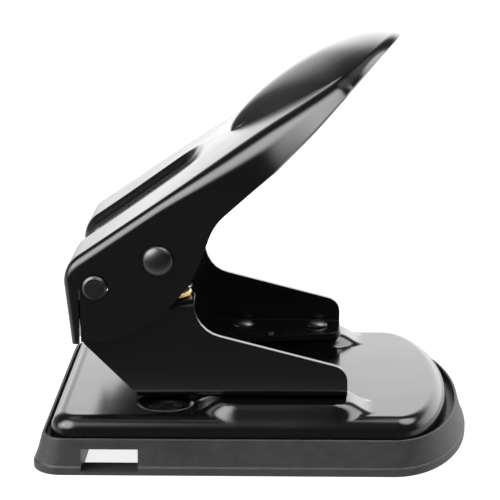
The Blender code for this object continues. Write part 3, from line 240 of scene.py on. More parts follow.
SLOT_LIP = 0.0100
OUTLINE_CORNER_STEPS = 16
OUTLINE_BOW_STEPS = 64
QUARTER_TURN = np.linspace(0, np.pi / 2, 5)

# Dies, rivets, shafts, caps and springs
DIE_BODY = 0.0048
DIE_HEAD = 0.0009
RIVET_SHANK = 0.0025
RIVET_TAIL = 0.0031
RIVET_TAIL_HEIGHT = 0.0012
RIVET_HEAD_HEIGHT = 0.0021
RIVET_DOME_STEPS = 14
PIVOT_GROOVE = 0.0007
PIVOT_CHAMFER = 0.0008
CAP_RADIUS = 0.00545
CAP_HEIGHT = 0.0036
CAP_SKIRT = 0.0010
CAP_EDGE = 0.0005
CAP_BORE_DEPTH = 0.0022
CAP_BORE_POINT_SHARE = 0.125
CAP_DOME_STEPS = 20
TURN_STEPS = 96
BORE_STEPS = 72
SMALL_TURN_STEPS = 64
TURNED_EDGE_ROUND = 0.00015
TURNED_EDGE_ANGLE = math.radians(50)
SPRING_WIRE = 0.0014
SPRING_RADIUS = 0.0054
SPRING_TURNS = 8
SPRING_STEPS = 48
WIRE_SIDES = 12
LEAST_SIDEWAYS = 0.05

# Finishes
SURFACE = "Principled BSDF"
ENAMEL_BLACK = (0.004, 0.004, 0.0044, 1.0)
ENAMEL_IOR = 1.5
ENAMEL_ROUGHNESS = 0.13
ENAMEL_HAZE = 0.10
FINE_PEEL_SHARE = 0.4
PLASTIC_DARK = (0.004, 0.004, 0.005, 1.0)
PLASTIC_LIGHT = (0.040, 0.040, 0.042, 1.0)
PLASTIC_ROUGHNESS = 0.42
PLASTIC_UNEVENNESS = 0.2
MOTTLE_SHARE = 0.7
MOTTLE_RELIEF = 1.5
METAL_DARK_SHARE = 0.72
METAL_UNEVENNESS = 0.14

# Camera of the photograph
CAMERA_PLACE = (0.0094, -0.669, 0.2259)
CAMERA_TILT = math.radians(90 - 13.315)
CAMERA_TURN = math.radians(1.053)
CAMERA_LENS = 129.6
CAMERA_SENSOR = 36.0
CAMERA_NEAR = 0.01
CAMERA_FAR = 50.0

# Studio as glossy surfaces see it: an edge is where a part of the direction starts and ends to count
BEHIND_EDGE = (-0.05, 0.45)
BACKDROP_STRENGTH = 2.5
BACKDROP_TOP_EDGE = (0.32, 0.54)
BESIDE_EDGE = (-0.22, -0.10)
BESIDE_DIMMER = 0.5
BESIDE_TOP_EDGE = (0.06, 0.24)
BESIDE_TOP_DIMMER = 0.8
LEFT_END_EDGE = (-0.60, -0.34)
LEFT_END_SHARE = 0.2
FRONT_FILL = 0.09
MATT_FILL = 0.75
KEY_BOX = {"toward": (-0.59, -0.46, 0.66), "full_within": math.radians(5),
           "none_beyond": math.radians(36), "strength": 9.5}
LOW_LEFT_BOX = {"toward": (-0.92, -0.20, 0.32), "full_within": math.radians(9),
                "none_beyond": math.radians(21), "strength": 5.0}
UPPER_RIGHT_BOX = {"toward": (0.45, 0.10, 0.88), "full_within": math.radians(16),
                   "none_beyond": math.radians(27), "strength": 7.0}
OVERHEAD_BOX = {"toward": (0.0, 0.25, 0.95), "full_within": math.radians(10),
                "none_beyond": math.radians(28), "strength": 0.9}

# Floor, and lamps for matt surfaces
FLOOR_REACH = 6.0
FLOOR_BEHIND_EDGE = (-0.15, -0.08)
FLOOR_GLOSS_IN_FRONT = 0.14
FLOOR_SEEN = 0.85
FLOOR_SHADE = 0.5
FLOOR_ROUGHNESS = 0.9
LAMPS = {"left_lamp": {"place": (-0.70, -0.45, 0.75), "size": 0.6, "power": 5.0},
         "right_lamp": {"place": (0.75, -0.40, 0.60), "size": 0.5, "power": 3.5}}


class Wire:
    """One output of a shader node; arithmetic on it adds Math nodes to the same board."""

    def __init__(self, board, socket):
        self.board = board
        self.socket = socket

    def _math(self, operation, first, second):
        return self.board.node("ShaderNodeMath", {"operation": operation}, {0: first, 1: second})

    def __add__(self, other):
        return self._math("ADD", self, other)

    def __radd__(self, other):
        return self._math("ADD", other, self)

    def __sub__(self, other):
        return self._math("SUBTRACT", self, other)

    def __rsub__(self, other):
        return self._math("SUBTRACT", other, self)

    def __mul__(self, other):
        return self._math("MULTIPLY", self, other)

    def __rmul__(self, other):
        return self._math("MULTIPLY", other, self)


class Board:
    """The node tree of a material or of the world."""

    def __init__(self, owner):
        owner.use_nodes = True
        self.tree = owner.node_tree

    def node(self, kind, settings=None, inputs=None, output=0):
        """Adds a node, its settings first and then its sockets, and gives one output or a tuple of them."""
        made = self.tree.nodes.new(kind)
        for name, value in (settings or {}).items():
            setattr(made, name, value)
        self._connect(made, inputs or {})
        if isinstance(output, tuple):
            return [Wire(self, made.outputs[name]) for name in output]
        return Wire(self, made.outputs[output])

    def feed(self, name, inputs):
        """Gives values or wires to the sockets of a node that the tree came with."""
        self._connect(self.tree.nodes[name], inputs)

    def _connect(self, target, inputs):
        for name, value in inputs.items():
            if isinstance(value, Wire):
                self.tree.links.new(value.socket, target.inputs[name])
            else:
                target.inputs[name].default_value = value

    def noise(self, place, scale, detail):
        """Cloudy noise between 0 and 1, with a scale in cells a metre."""
        return self.node("ShaderNodeTexNoise", None, {"Vector": place, "Scale": scale, "Detail": detail})

    def mix(self, share, first, second):
        """A colour between two; the node keeps its colours in sockets 6 and 7 and gives output 2."""
        return self.node("ShaderNodeMix", {"data_type": "RGBA"}, {0: share, 6: first, 7: second}, 2)

    def bump(self, height, strength, distance):
        """A normal that follows a height."""
        inputs = {"Strength": strength, "Distance": distance, "Height": height}
        return self.node("ShaderNodeBump", None, inputs)

    def step(self, value, low, high):
        """0 where the value is below low, 1 above high and an S-curve between them."""
        return self.node("ShaderNodeMapRange", {"interpolation_type": "SMOOTHSTEP"},
                         {"Value": value, "From Min": low, "From Max": high, "To Min": 0.0, "To Max": 1.0})

    def softbox(self, direction, toward, full_within, none_beyond, strength):
        """A round soft light, full within an angle of its middle and gone beyond a wider one."""
        middle = tuple(Vector(toward).normalized())
        nearness = self.node("ShaderNodeVectorMath", {"operation": "DOT_PRODUCT"},
                             {0: direction, 1: middle}, "Value")
        return self.step(nearness, math.cos(none_beyond), math.cos(full_within)) * strength


def smooth_step(value):
    """0 below 0, 1 above 1 and the curve 3v^2 - 2v^3 between them."""
    value = np.clip(value, 0.0, 1.0)
    return value * value * (3 - 2 * value)


def grid_quads(rows, columns, closed):
    """Corner numbers of the quads of a grid of points counted row by row."""
    first = np.arange(rows - 1)[:, None] * columns
    here = np.arange(columns if closed else columns - 1)[None, :]
    after = (here + 1) % columns
    corners = [first + here, first + after, first + columns + after, first + columns + here]
    return np.stack(corners, axis=-1).reshape(-1, 4)


def mesh_from_grids(name, grids, caps=()):
    """Joins grids of points (array, closed, flipped) and single outlines as caps into one mesh."""
    points = []
    faces = []
    count = 0
    for array, closed, flipped in grids:
        rows, columns = array.shape[:2]
        quads = grid_quads(rows, columns, closed) + count
        faces += (quads[:, ::-1] if flipped else quads).tolist()
        points.append(array.reshape(-1, 3))
        count += rows * columns
    for array, flipped in caps:
        loop = list(range(count, count + len(array)))
        faces.append(loop[::-1] if flipped else loop)
        points.append(array)
        count += len(array)
    mesh = bpy.data.meshes.new(name)
    mesh.from_pydata(np.concatenate(points), [], faces)
    builder = bmesh.new()
    builder.from_mesh(mesh)
    bmesh.ops.remove_doubles(builder, verts=builder.verts, dist=MERGE_DISTANCE)
    bmesh.ops.dissolve_degenerate(builder, edges=builder.edges, dist=MERGE_DISTANCE)
    builder.to_mesh(mesh)
    builder.free()
    return mesh


def capped_mesh(name, stacks, flipped=False):
    """Closed bodies from stacks of rings, each shut by a cap at either end."""
    grids = [(rings, True, flipped) for rings in stacks]
    caps = [(rings[end], (end == 0) != flipped) for rings in stacks for end in (0, -1)]
    return mesh_from_grids(name, grids, caps)


def make_piece(name, mesh):
    """Links a mesh as an object at the origin."""
    item = bpy.data.objects.new(name, mesh)
    bpy.context.scene.collection.objects.link(item)
    return item


def apply_modifiers(item):
    """Keeps the modified mesh and drops the modifiers."""
    graph = bpy.context.evaluated_depsgraph_get()
    mesh = bpy.data.meshes.new_from_object(item.evaluated_get(graph))
    item.modifiers.clear()
    item.data = mesh


def boolean(item, cutter, operation="DIFFERENCE"):
    """Cuts one object with another, or joins them, and removes the second."""
    cut = item.modifiers.new("cut", "BOOLEAN")
    cut.operation = operation
    cut.solver = "EXACT"
    cut.object = cutter
    apply_modifiers(item)
    bpy.data.objects.remove(cutter)


def round_edges(item, width, angle, segments=3):
    """Rounds the edges that turn by more than an angle."""
    bevel = item.modifiers.new("round", "BEVEL")
    bevel.width = width
    bevel.segments = segments
    bevel.limit_method = "ANGLE"
    bevel.angle_limit = angle
    bevel.use_clamp_overlap = True
    apply_modifiers(item)


def shade(item):
    """Smooth shading up to an angle, weighted by face area so that broad faces stay flat."""
    item.data.shade_smooth()
    item.data.set_sharp_from_angle(angle=SMOOTH_ANGLE)
    weighted = item.modifiers.new("weighted", "WEIGHTED_NORMAL")
    weighted.keep_sharp = True
    apply_modifiers(item)


def finish_piece(item, material, body, replaced):
    """Gives a finished piece its material and body, and hides the node that it stands for."""
    item.data.materials.clear()
    item.data.materials.append(material)
    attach(item, body)
    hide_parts(replaced)


def block(low, high):
    """A closed box between two corners."""
    x, y, z = [np.array([low[k], high[k]]) for k in range(3)]
    ring = np.array([[x[0], y[0]], [x[1], y[0]], [x[1], y[1]], [x[0], y[1]]])
    rings = np.stack([np.column_stack([ring, np.full(4, height)]) for height in z])
    return make_piece("block", capped_mesh("block", [rings]))


def turned_points(profile, steps):
    """A profile of (radius, height) carried round Z: rows follow the profile, columns the turn."""
    profile = np.array(profile)
    angle = 2 * np.pi * np.arange(steps) / steps
    radius = profile[:, :1]
    height = np.broadcast_to(profile[:, 1:], (len(profile), steps))
    return np.stack([radius * np.cos(angle), radius * np.sin(angle), height], axis=-1)


def upright_axis(node_name):
    """X and Y of a node's middle, where its upright axis stands."""
    low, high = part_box(node_name)
    return (low.x + high.x) / 2, (low.y + high.y) / 2


def lever_line(along):
    """Place, outward and forward directions on the lever's middle line at a distance along it.

    A straight slope for positive distances. For negative ones an arc of the front bend's radius, turned
    by distance over radius, and then the straight apron.
    """
    heading = LEVER_SLOPE + np.clip(-along / FRONT_BEND_RADIUS, 0, FRONT_TURN)
    zero = np.zeros_like(heading)
    outward = np.stack([-np.sin(heading), zero, np.cos(heading)], axis=-1)
    forward = np.stack([np.cos(heading), zero, np.sin(heading)], axis=-1)
    slope_out = np.array([-math.sin(LEVER_SLOPE), 0, math.cos(LEVER_SLOPE)])
    slope_on = np.array([math.cos(LEVER_SLOPE), 0, math.sin(LEVER_SLOPE)])
    centre = HINGE + slope_out * (LEVER_ABOVE_PIVOT - FRONT_BEND_RADIUS) + slope_on * LEVER_START_PAST_PIVOT
    below = np.maximum(0, -along - FRONT_BEND_RADIUS * FRONT_TURN)[..., None]
    above = np.maximum(0, along)[..., None]
    return centre + outward * FRONT_BEND_RADIUS - forward * below + slope_on * above, outward, forward


def lower_outline():
    """The side wall's lower outline from the slit to the knee as X and Z from the hinge, and the slit's X.

    An arc about a given centre, a throat rounded by the circle that touches both its sides, and a
    straight line to the knee.
    """
    foot, foot_out, _ = lever_line(np.array(APRON_FOOT))
    slit_front = (foot - HINGE - foot_out * (APRON_EDGE_BEND + SLIT_BEHIND_BEND))[0]
    angle = np.linspace(QUADRANT_FROM, QUADRANT_TO, QUADRANT_STEPS)
    quadrant = np.stack([QUADRANT_CENTRE[0] + QUADRANT_RADIUS * np.cos(angle),
                         QUADRANT_CENTRE[1] + QUADRANT_RADIUS * np.sin(angle)], axis=-1)
    place, outward, _ = lever_line(np.array(KNEE_AT))
    knee = (place - HINGE - outward * KNEE_DEPTH)[[0, 2]]
    throat = np.array(THROAT)
    before = (quadrant[-1] - throat) / np.linalg.norm(quadrant[-1] - throat)
    after = (knee - throat) / np.linalg.norm(knee - throat)
    half = math.acos(float(before @ after)) / 2
    middle = (before + after) / np.linalg.norm(before + after)
    centre = throat + middle * THROAT_ROUND / math.sin(half)
    first = throat + before * THROAT_ROUND / math.tan(half) - centre
    last = throat + after * THROAT_ROUND / math.tan(half) - centre
    start = math.atan2(first[1], first[0])
    turn = (math.atan2(last[1], last[0]) - start + math.pi) % (2 * math.pi) - math.pi
    round_angle = start + turn * np.linspace(0, 1, THROAT_STEPS)
    rounded = centre + THROAT_ROUND * np.stack([np.cos(round_angle), np.sin(round_angle)], axis=-1)
    toe = np.array([[slit_front + SLIT_WIDTH, WALL_TOE_Z]])
    return np.concatenate([toe, quadrant, rounded, knee[None]]), slit_front


OUTLINE, SLIT_FRONT = lower_outline()
OUTLINE_RUN = np.concatenate([[0], np.cumsum(np.linalg.norm(np.diff(OUTLINE, axis=0), axis=1))])


def outline_point(along):
    """The lower outline's point at the share of its run that the distance has of the way to the knee."""
    run = np.clip((along - APRON_FOOT) / (KNEE_AT - APRON_FOOT), 0, 1) * OUTLINE_RUN[-1]
    return np.stack([np.interp(run, OUTLINE_RUN, OUTLINE[:, k]) for k in (0, 1)], axis=-1)


def wall_depth(along):
    """Depth of the free edge below the top, square to it.

    It falls evenly up the handle and as a power of the distance that is left round the bowed end.
    """
    handle_share = np.clip((along - KNEE_AT) / (WALL_END_AT - KNEE_AT), 0, 1)
    handle = KNEE_DEPTH + (END_DEPTH - KNEE_DEPTH) * handle_share
    round_share = np.clip((along - WALL_END_AT) / LEVER_BOW, 0, 1)
    rim = TIP_DEPTH + (END_DEPTH - TIP_DEPTH) * (1 - round_share) ** TIP_POWER
    return np.where(along < WALL_END_AT, handle, rim)


def bend_radius(along):
    """Radius of the bend between top and wall.

    It shrinks evenly down the apron, grows on an S-curve up the handle and shrinks on one to the tip.
    """
    apron = EDGE_BEND + (APRON_EDGE_BEND - EDGE_BEND) * along / APRON_FOOT
    grown = smooth_step((along - BEND_GROWS_FROM) / (BEND_FULL_AT - BEND_GROWS_FROM))
    shrunk = smooth_step((along - BEND_SHRINKS_FROM) / (LEVER_LENGTH - BEND_SHRINKS_FROM))
    handle = EDGE_BEND + (HANDLE_EDGE_BEND - EDGE_BEND) * grown
    handle += (TIP_EDGE_BEND - HANDLE_EDGE_BEND) * shrunk
    return np.where(along < 0, apron, handle)


def wall_lean(along):
    """Angle by which the wall leans outwards below its bend: none low down, most on the open handle."""
    lean = LEAN * smooth_step((along - LEAN_FROM) / (LEAN_FULL - LEAN_FROM))
    return lean + (TIP_LEAN - LEAN) * smooth_step((along - WALL_END_AT) / LEVER_BOW)


def wall_drop(along):
    """From the top's edge down to the free edge: to the lower outline up to the knee, then the depth."""
    place, _, _ = lever_line(along)
    below = np.linalg.norm(outline_point(along) - (place - HINGE)[..., [0, 2]], axis=-1)
    return np.where(along < KNEE_AT, below, wall_depth(along))


def side_reach(along):
    """How far bend and leaning wall reach outwards from the top's edge.

    The radius times the lean's cosine, plus what is left of the drop below the bend times its tangent.
    """
    radius = bend_radius(along)
    lean = wall_lean(along)
    return radius * np.cos(lean) + (wall_drop(along) - radius * (1 - np.sin(lean))) * np.tan(lean)


def top_half(along):
    """Half the width of the top between its edge bends.

    The walls' outer face less their reach, led on an S-curve to the top's width where the walls end.
    """
    led = smooth_step((along - BEND_FULL_AT) / (WALL_END_AT - BEND_FULL_AT))
    return (WALL_OUTER - side_reach(along)) * (1 - led) + END_HALF * led


def rest_merge(along):
    """How far the palm rest has run together with the edge bends, from 0 to 1 on an S-curve."""
    return smooth_step((along - REST_MERGES_FROM) / (REST_MERGES_AT - REST_MERGES_FROM))


def crease_half(along):
    """Half the width at which the channel ends and, further up, at which the palm rest starts.

    Past the channel it closes on an S-curve to the rest's tip. From there it widens as a power of a
    quarter sine wave towards a share of the top's half width, which is rounded like an ellipse along
    the bowed end.
    """
    closing = smooth_step((along - CHANNEL_END) / (REST_TIP - CHANNEL_END))
    neck = CHANNEL_HALF + (REST_START_HALF - CHANNEL_HALF) * closing
    widening = np.sin(np.pi / 2 * np.clip((along - REST_TIP) / REST_WIDENS_IN, 0, 1)) ** REST_OUTLINE_POWER
    rounded = np.sqrt(1 - REST_ROUNDING * np.clip((along - WALL_END_AT) / LEVER_BOW, 0, 1) ** 2)
    share = REST_FULL_SHARE + (REST_MERGED_SHARE - REST_FULL_SHARE) * rest_merge(along)
    full = top_half(along) * rounded * share
    rest = REST_START_HALF + (full - REST_START_HALF) * widening
    return np.where(along < REST_TIP, neck, rest)


def lever_relief(along, across):
    """Height of the top above its plane.

    A low crown, less a channel whose depth follows the distance inside a rectangle with round
    corners, plus a palm rest that grows from a point and falls to the end as a power of its reach,
    less a droop of the tip with the square of the distance.
    """
    crown = smooth_step((along - CROWN_START) / (CROWN_FULL - CROWN_START))
    end = 1 - smooth_step((along - WALL_END_AT) / LEVER_BOW)
    relief = CROWN_HEIGHT * crown * end * (1 - (across / top_half(along)) ** 2)
    side_lack = np.clip(1 - (CHANNEL_HALF - np.abs(across)) / CHANNEL_CORNER, 0, None)
    end_lack = np.clip(1 - (CHANNEL_END - along) / CHANNEL_CORNER, 0, None)
    lack = np.hypot(side_lack, end_lack)
    inside = CHANNEL_CORNER * (1 - lack)
    end_share = (end_lack / np.maximum(lack, MERGE_DISTANCE)) ** 2
    run = CHANNEL_WALL + (CHANNEL_RAMP - CHANNEL_WALL) * end_share
    relief -= CHANNEL_DEPTH * smooth_step(inside / run)
    reach = np.clip((along - REST_TIP) / (LEVER_LENGTH - TIP_REACH - REST_TIP), 0, 1)
    power = REST_SECTION_SHARE + (1 - REST_SECTION_SHARE) * rest_merge(along)
    section = np.clip(1 - (across / crease_half(along)) ** 2, 0, 1) ** power
    peak_at = REST_RISE_SHARE / (REST_RISE_SHARE + REST_FALL_SHARE)
    peak = peak_at ** REST_RISE_SHARE * (1 - peak_at) ** REST_FALL_SHARE
    rise = reach ** REST_RISE_SHARE * (1 - reach) ** REST_FALL_SHARE / peak
    droop = TIP_DROOP * np.clip((along - DROOPS_FROM) / (LEVER_LENGTH - DROOPS_FROM), 0, None) ** 2
    return relief + REST_HEIGHT * rise * section - droop


def lever_columns():
    """Shares of the half width with a point, closer together on the channel's walls."""
    edge = CHANNEL_HALF / (WALL_OUTER - EDGE_BEND)
    floor = (CHANNEL_HALF - CHANNEL_WALL) / (WALL_OUTER - EDGE_BEND)
    half = np.concatenate([np.linspace(0, floor, FLOOR_COLUMNS, endpoint=False),
                           np.linspace(floor, edge, CHANNEL_WALL_COLUMNS, endpoint=False),
                           np.linspace(edge, 1, LAND_COLUMNS)])
    return np.concatenate([-half[:0:-1], half])


def column_place(share, along):
    """Place of a column across the top, so that one column follows the crease.

    Columns inside the channel's edge spread evenly up to the crease, the others from there outwards.
    """
    edge = CHANNEL_HALF / (WALL_OUTER - EDGE_BEND)
    crease = crease_half(along)
    beyond = (np.abs(share) - edge) / (1 - edge)
    outer = crease + (top_half(along) - crease) * beyond
    return np.where(np.abs(share) <= edge, crease * share / edge, np.sign(share) * outer)


def wall_grids(side, along, bend_end, free_edge):
    """One side's wall as a strip before the slit and the rest behind it, which meet above the slit.

    Both are ruled surfaces between the bend, the joint and the lower outline, and lean out evenly
    with the share of the way down.
    """
    upper = bend_end[:, [0, 2]] - HINGE[[0, 2]]
    lower = np.where((along < KNEE_AT)[:, None], outline_point(along), free_edge[:, [0, 2]] - HINGE[[0, 2]])
    whole = np.linalg.norm(lower - upper, axis=1)
    bend_y = np.abs(bend_end[:, 1])[:, None]
    lower_y = bend_y + (np.tan(wall_lean(along)) * whole)[:, None]
    in_slit = (upper[:, 1] < -SLIT_TOP_BELOW_PIVOT) & (along < 0)
    last = int(np.nonzero(in_slit)[0][-1])
    strip = SLIT_FRONT - upper[last + 1, 0]
    toward = (lower - upper) / whole[:, None]
    blend = smooth_step((along - along[last + 1]) / (APRON_LENGTH / 2))[:, None]
    heading = np.array([[1.0, 0.0]]) * (1 - blend) + toward * blend
    heading /= np.linalg.norm(heading, axis=1)[:, None]
    joint = upper + heading * strip
    slit_front = np.stack([np.full(len(along), SLIT_FRONT), upper[:, 1]], axis=-1)
    front = np.where(in_slit[:, None], slit_front, joint)
    rise = (upper[:, 1] - upper[0, 1]) / (upper[last + 1, 1] - upper[0, 1])
    rear_z = WALL_TOE_Z + (upper[last + 1, 1] - WALL_TOE_Z) * rise
    slit_rear = np.stack([np.full(len(along), SLIT_FRONT + SLIT_WIDTH), rear_z], axis=-1)
    rear = np.where(in_slit[:, None], slit_rear, joint)

    def ruled(start, finish, count, start_share, finish_share):
        share = np.linspace(0, 1, count)[None, :]
        flat = start[:, None] * (1 - share[..., None]) + finish[:, None] * share[..., None]
        down = start_share[:, None] + (finish_share - start_share)[:, None] * share
        y = side * (bend_y + (lower_y - bend_y) * down)
        return np.stack([HINGE[0] + flat[..., 0], y, HINGE[2] + flat[..., 1]], axis=-1)

    joint_share = np.linalg.norm(joint - upper, axis=1) / whole
    nothing = np.zeros(len(along))
    everything = np.ones(len(along))
    return [ruled(upper, front, STRIP_STEPS, nothing, joint_share),
            ruled(rear, lower, WALL_STEPS, joint_share, everything)]


def top_plan(along):
    """Distances along and across of the top's points, row by row.

    Rows cross the lever as far as the walls go. Round the bowed end they turn into an ellipse: each
    row's corner goes up an arc while its middle goes ahead in even steps.
    """
    shares = lever_columns()
    plan_along = np.broadcast_to(along[:, None], (len(along), len(shares)))
    plan_across = column_place(shares[None, :], plan_along)
    bow = LEVER_BOW - TIP_REACH
    progress = np.arange(1, BOW_ROWS + 1)[:, None] / BOW_ROWS
    angle = BOW_CORNER * progress
    bow_across = column_place(shares, np.array(WALL_END_AT))[None, :] * np.cos(angle)
    on_bow = bow * np.sqrt(np.clip(1 - (bow_across / END_HALF) ** 2, 0, 1))
    corner = bow * np.sin(angle)
    bow_along = WALL_END_AT + corner + (on_bow - corner) * progress
    return np.concatenate([plan_along, bow_along]), np.concatenate([plan_across, bow_across])


def lever_mesh():
    """The lever's outer skin: top grid, edge bends, walls and the lip round the bowed end.

    The bend starts at the slope that the relief has at the rim and turns on to the wall's lean with
    a radius that keeps its reach; the lip goes straight on from the bend down to the free edge.
    """
    along = np.concatenate([
        np.linspace(APRON_FOOT, -FRONT_BEND_RADIUS * FRONT_TURN, APRON_ROWS, endpoint=False),
        np.linspace(-FRONT_BEND_RADIUS * FRONT_TURN, 0, FRONT_ROWS, endpoint=False),
        np.linspace(0, CHANNEL_END - CHANNEL_CORNER, SLOPE_ROWS, endpoint=False),
        np.linspace(CHANNEL_END - CHANNEL_CORNER, REST_TIP, RAMP_ROWS, endpoint=False),
        np.linspace(REST_TIP, WALL_END_AT, REST_ROWS)])
    plan_along, plan_across = top_plan(along)
    place, outward, _ = lever_line(plan_along)
    top = place + outward * lever_relief(plan_along, plan_across)[..., None]
    top[..., 1] += plan_across

    rows, columns = plan_along.shape
    row = np.concatenate([np.arange(rows), np.full(columns - 2, rows - 1), np.arange(rows)[::-1]])
    column = np.concatenate([np.zeros(rows, int), np.arange(1, columns - 1), np.full(rows, columns - 1)])
    rim_along, rim_across, rim = plan_along[row, column], plan_across[row, column], top[row, column]
    _, rim_out, rim_on = lever_line(rim_along)
    on_side = row < len(along)
    away = np.stack([np.where(on_side, 0, (rim_along - WALL_END_AT) / (LEVER_BOW - TIP_REACH) ** 2),
                     np.where(on_side, np.sign(rim_across), rim_across / END_HALF ** 2)])
    away /= np.linalg.norm(away, axis=0)
    sideways = rim_on * away[0][:, None]
    sideways[:, 1] += away[1]
    inner = lever_relief(rim_along - REST_SLOPE_STEP * away[0], rim_across - REST_SLOPE_STEP * away[1])
    fall = (inner - lever_relief(rim_along, rim_across)) / REST_SLOPE_STEP
    steep_share = smooth_step((rim_along - REST_MERGES_FROM) / (REST_STEEP_AT - REST_MERGES_FROM))
    first = np.clip(np.arctan(fall), 0, REST_STEEPEST * steep_share)
    lean = wall_lean(rim_along)
    radius = bend_radius(rim_along) * np.cos(lean) / (np.cos(lean) - np.sin(first))
    room = BEND_DEPTH_SHARE * wall_depth(rim_along)
    radius = np.minimum(radius, room / (np.cos(first) - np.sin(lean)))
    turn = first + (np.pi / 2 - lean - first) * np.linspace(0, 1, BEND_STEPS)[:, None]
    reach = radius * (np.sin(turn) - np.sin(first))
    sunk = radius * (np.cos(first) - np.cos(turn))
    bend = rim + sideways * reach[..., None] - rim_out * sunk[..., None]
    drop = (wall_depth(rim_along) - sunk[-1]) / np.cos(lean)
    down = sideways * np.sin(lean)[:, None] - rim_out * np.cos(lean)[:, None]
    free_edge = bend[-1] + down * drop[:, None]

    grids = [(top, False, True), (bend, False, True)]
    for side in SIDES.values():
        walls = wall_grids(side, along, bend[-1, :len(along)], free_edge[:len(along)])
        grids += [(wall, False, side > 0) for wall in walls]
    end = np.concatenate([walls[0][-1], walls[1][-1, 1:]])
    lip_share = np.linalg.norm(end - end[0], axis=1) / np.linalg.norm(end[-1] - end[0])
    lip_part = slice(len(along) - 1, len(row) - len(along) + 1)
    lip = bend[-1, lip_part] + (free_edge[lip_part] - bend[-1, lip_part]) * lip_share[:, None, None]
    return mesh_from_grids("lever_skin", grids + [(lip, False, True)])


def build_lever(material):
    """The lever: skin with its sheet, bores for the two shafts and rounded cut edges."""
    lever = make_piece("lever_pressing", lever_mesh())
    sheet = lever.modifiers.new("sheet", "SOLIDIFY")
    sheet.thickness = LEVER_SHEET
    sheet.offset = -1
    sheet.use_even_offset = True
    apply_modifiers(lever)
    reach = WALL_OUTER + CUT_OVERRUN
    bores = []
    for radius, x, z in ((PIVOT_RADIUS, 0, 0), (DRIVE_RADIUS, *DRIVE_PLACE)):
        points = turned_points([(radius + SEAT_GAP, -reach), (radius + SEAT_GAP, reach)], BORE_STEPS)
        bores.append(points[..., [0, 2, 1]] + HINGE + np.array([x, 0, z]))
    boolean(lever, make_piece("bores", capped_mesh("bores", bores, True)))
    round_edges(lever, CUT_EDGE_ROUND, LEVER_CUT_ANGLE)
    shade(lever)
    finish_piece(lever, material, "lever_body", "lever")


def bowed_ring(left, right, half, corner, bow, draw=0.0, middle=np.empty(0)):
    """The near half of an outline with round corners at the left and a half ellipse at the right.

    A quarter circle, a straight side at given X places and a quarter ellipse, drawn in evenly.
    """
    turn = np.linspace(np.pi, 1.5 * np.pi, OUTLINE_CORNER_STEPS)
    corner_points = np.stack([left + corner + (corner - draw) * np.cos(turn),
                              -half + corner + (corner - draw) * np.sin(turn)], axis=-1)
    side = np.stack([middle, np.full(len(middle), -(half - draw))], axis=-1)
    sweep = np.linspace(-np.pi / 2, 0, OUTLINE_BOW_STEPS)
    bow_points = np.stack([right - bow + (bow - draw) * np.cos(sweep),
                           (half - draw) * np.sin(sweep)], axis=-1)
    return np.concatenate([corner_points, side, bow_points])


def whole_loop(half_loop, left_shares=np.empty(0)):
    """A closed loop from its near half: near side, the same mirrored, then the straight left edge."""
    far = half_loop[::-1] * np.array([1, -1])
    left = np.stack([np.full(len(left_shares), half_loop[0, 0]), half_loop[0, 1] * left_shares], axis=-1)
    return np.concatenate([half_loop, far[1:], left])


DIE_LOW, DIE_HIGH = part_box("die_far")
DIE_PLACE = upright_axis("die_far")


def plate_relief(x, y):
    """Platforms with sloping sides, less round dishes, as heights over the flat plate.

    A platform falls on an S-curve with the distance outside its rounded top, over a run that changes
    with the direction like an ellipse; a dish rises on one with the distance from its die.
    """
    centre_x = (PLATFORM_LEFT + PLATFORM_RIGHT) / 2
    centre_y = (PLATFORM_INNER + PLATFORM_OUTER) / 2
    over_x = np.clip(np.abs(x - centre_x) - (PLATFORM_RIGHT - centre_x - PLATFORM_CORNER), 0, None)
    over_y = np.clip(np.abs(np.abs(y) - centre_y) - (PLATFORM_OUTER - centre_y - PLATFORM_CORNER), 0, None)
    over = np.hypot(over_x, over_y)
    cosine = over_x / np.maximum(over, MERGE_DISTANCE)
    sine = over_y / np.maximum(over, MERGE_DISTANCE)
    run = 1 / np.sqrt((cosine / RISER_RUN) ** 2 + (sine / RISER_SIDE_RUN) ** 2 + MERGE_DISTANCE)
    platform = PLATFORM_RISE * (1 - smooth_step((over - PLATFORM_CORNER) / run))
    from_die = np.hypot(x - DIE_PLACE[0], np.abs(y) - DIE_PLACE[1])
    dish_slope = smooth_step((from_die - DISH_FLOOR_RADIUS) / (DISH_RIM_RADIUS - DISH_FLOOR_RADIUS))
    return platform - DISH_DEPTH * (1 - dish_slope)


def dense(low, high, spacing, close_low, close_high, close_spacing):
    """Places from low to high, closer together between two of them."""
    parts = [np.arange(low, close_low, spacing), np.arange(close_low, close_high, close_spacing),
             np.arange(close_high, high, spacing)]
    return np.concatenate(parts)


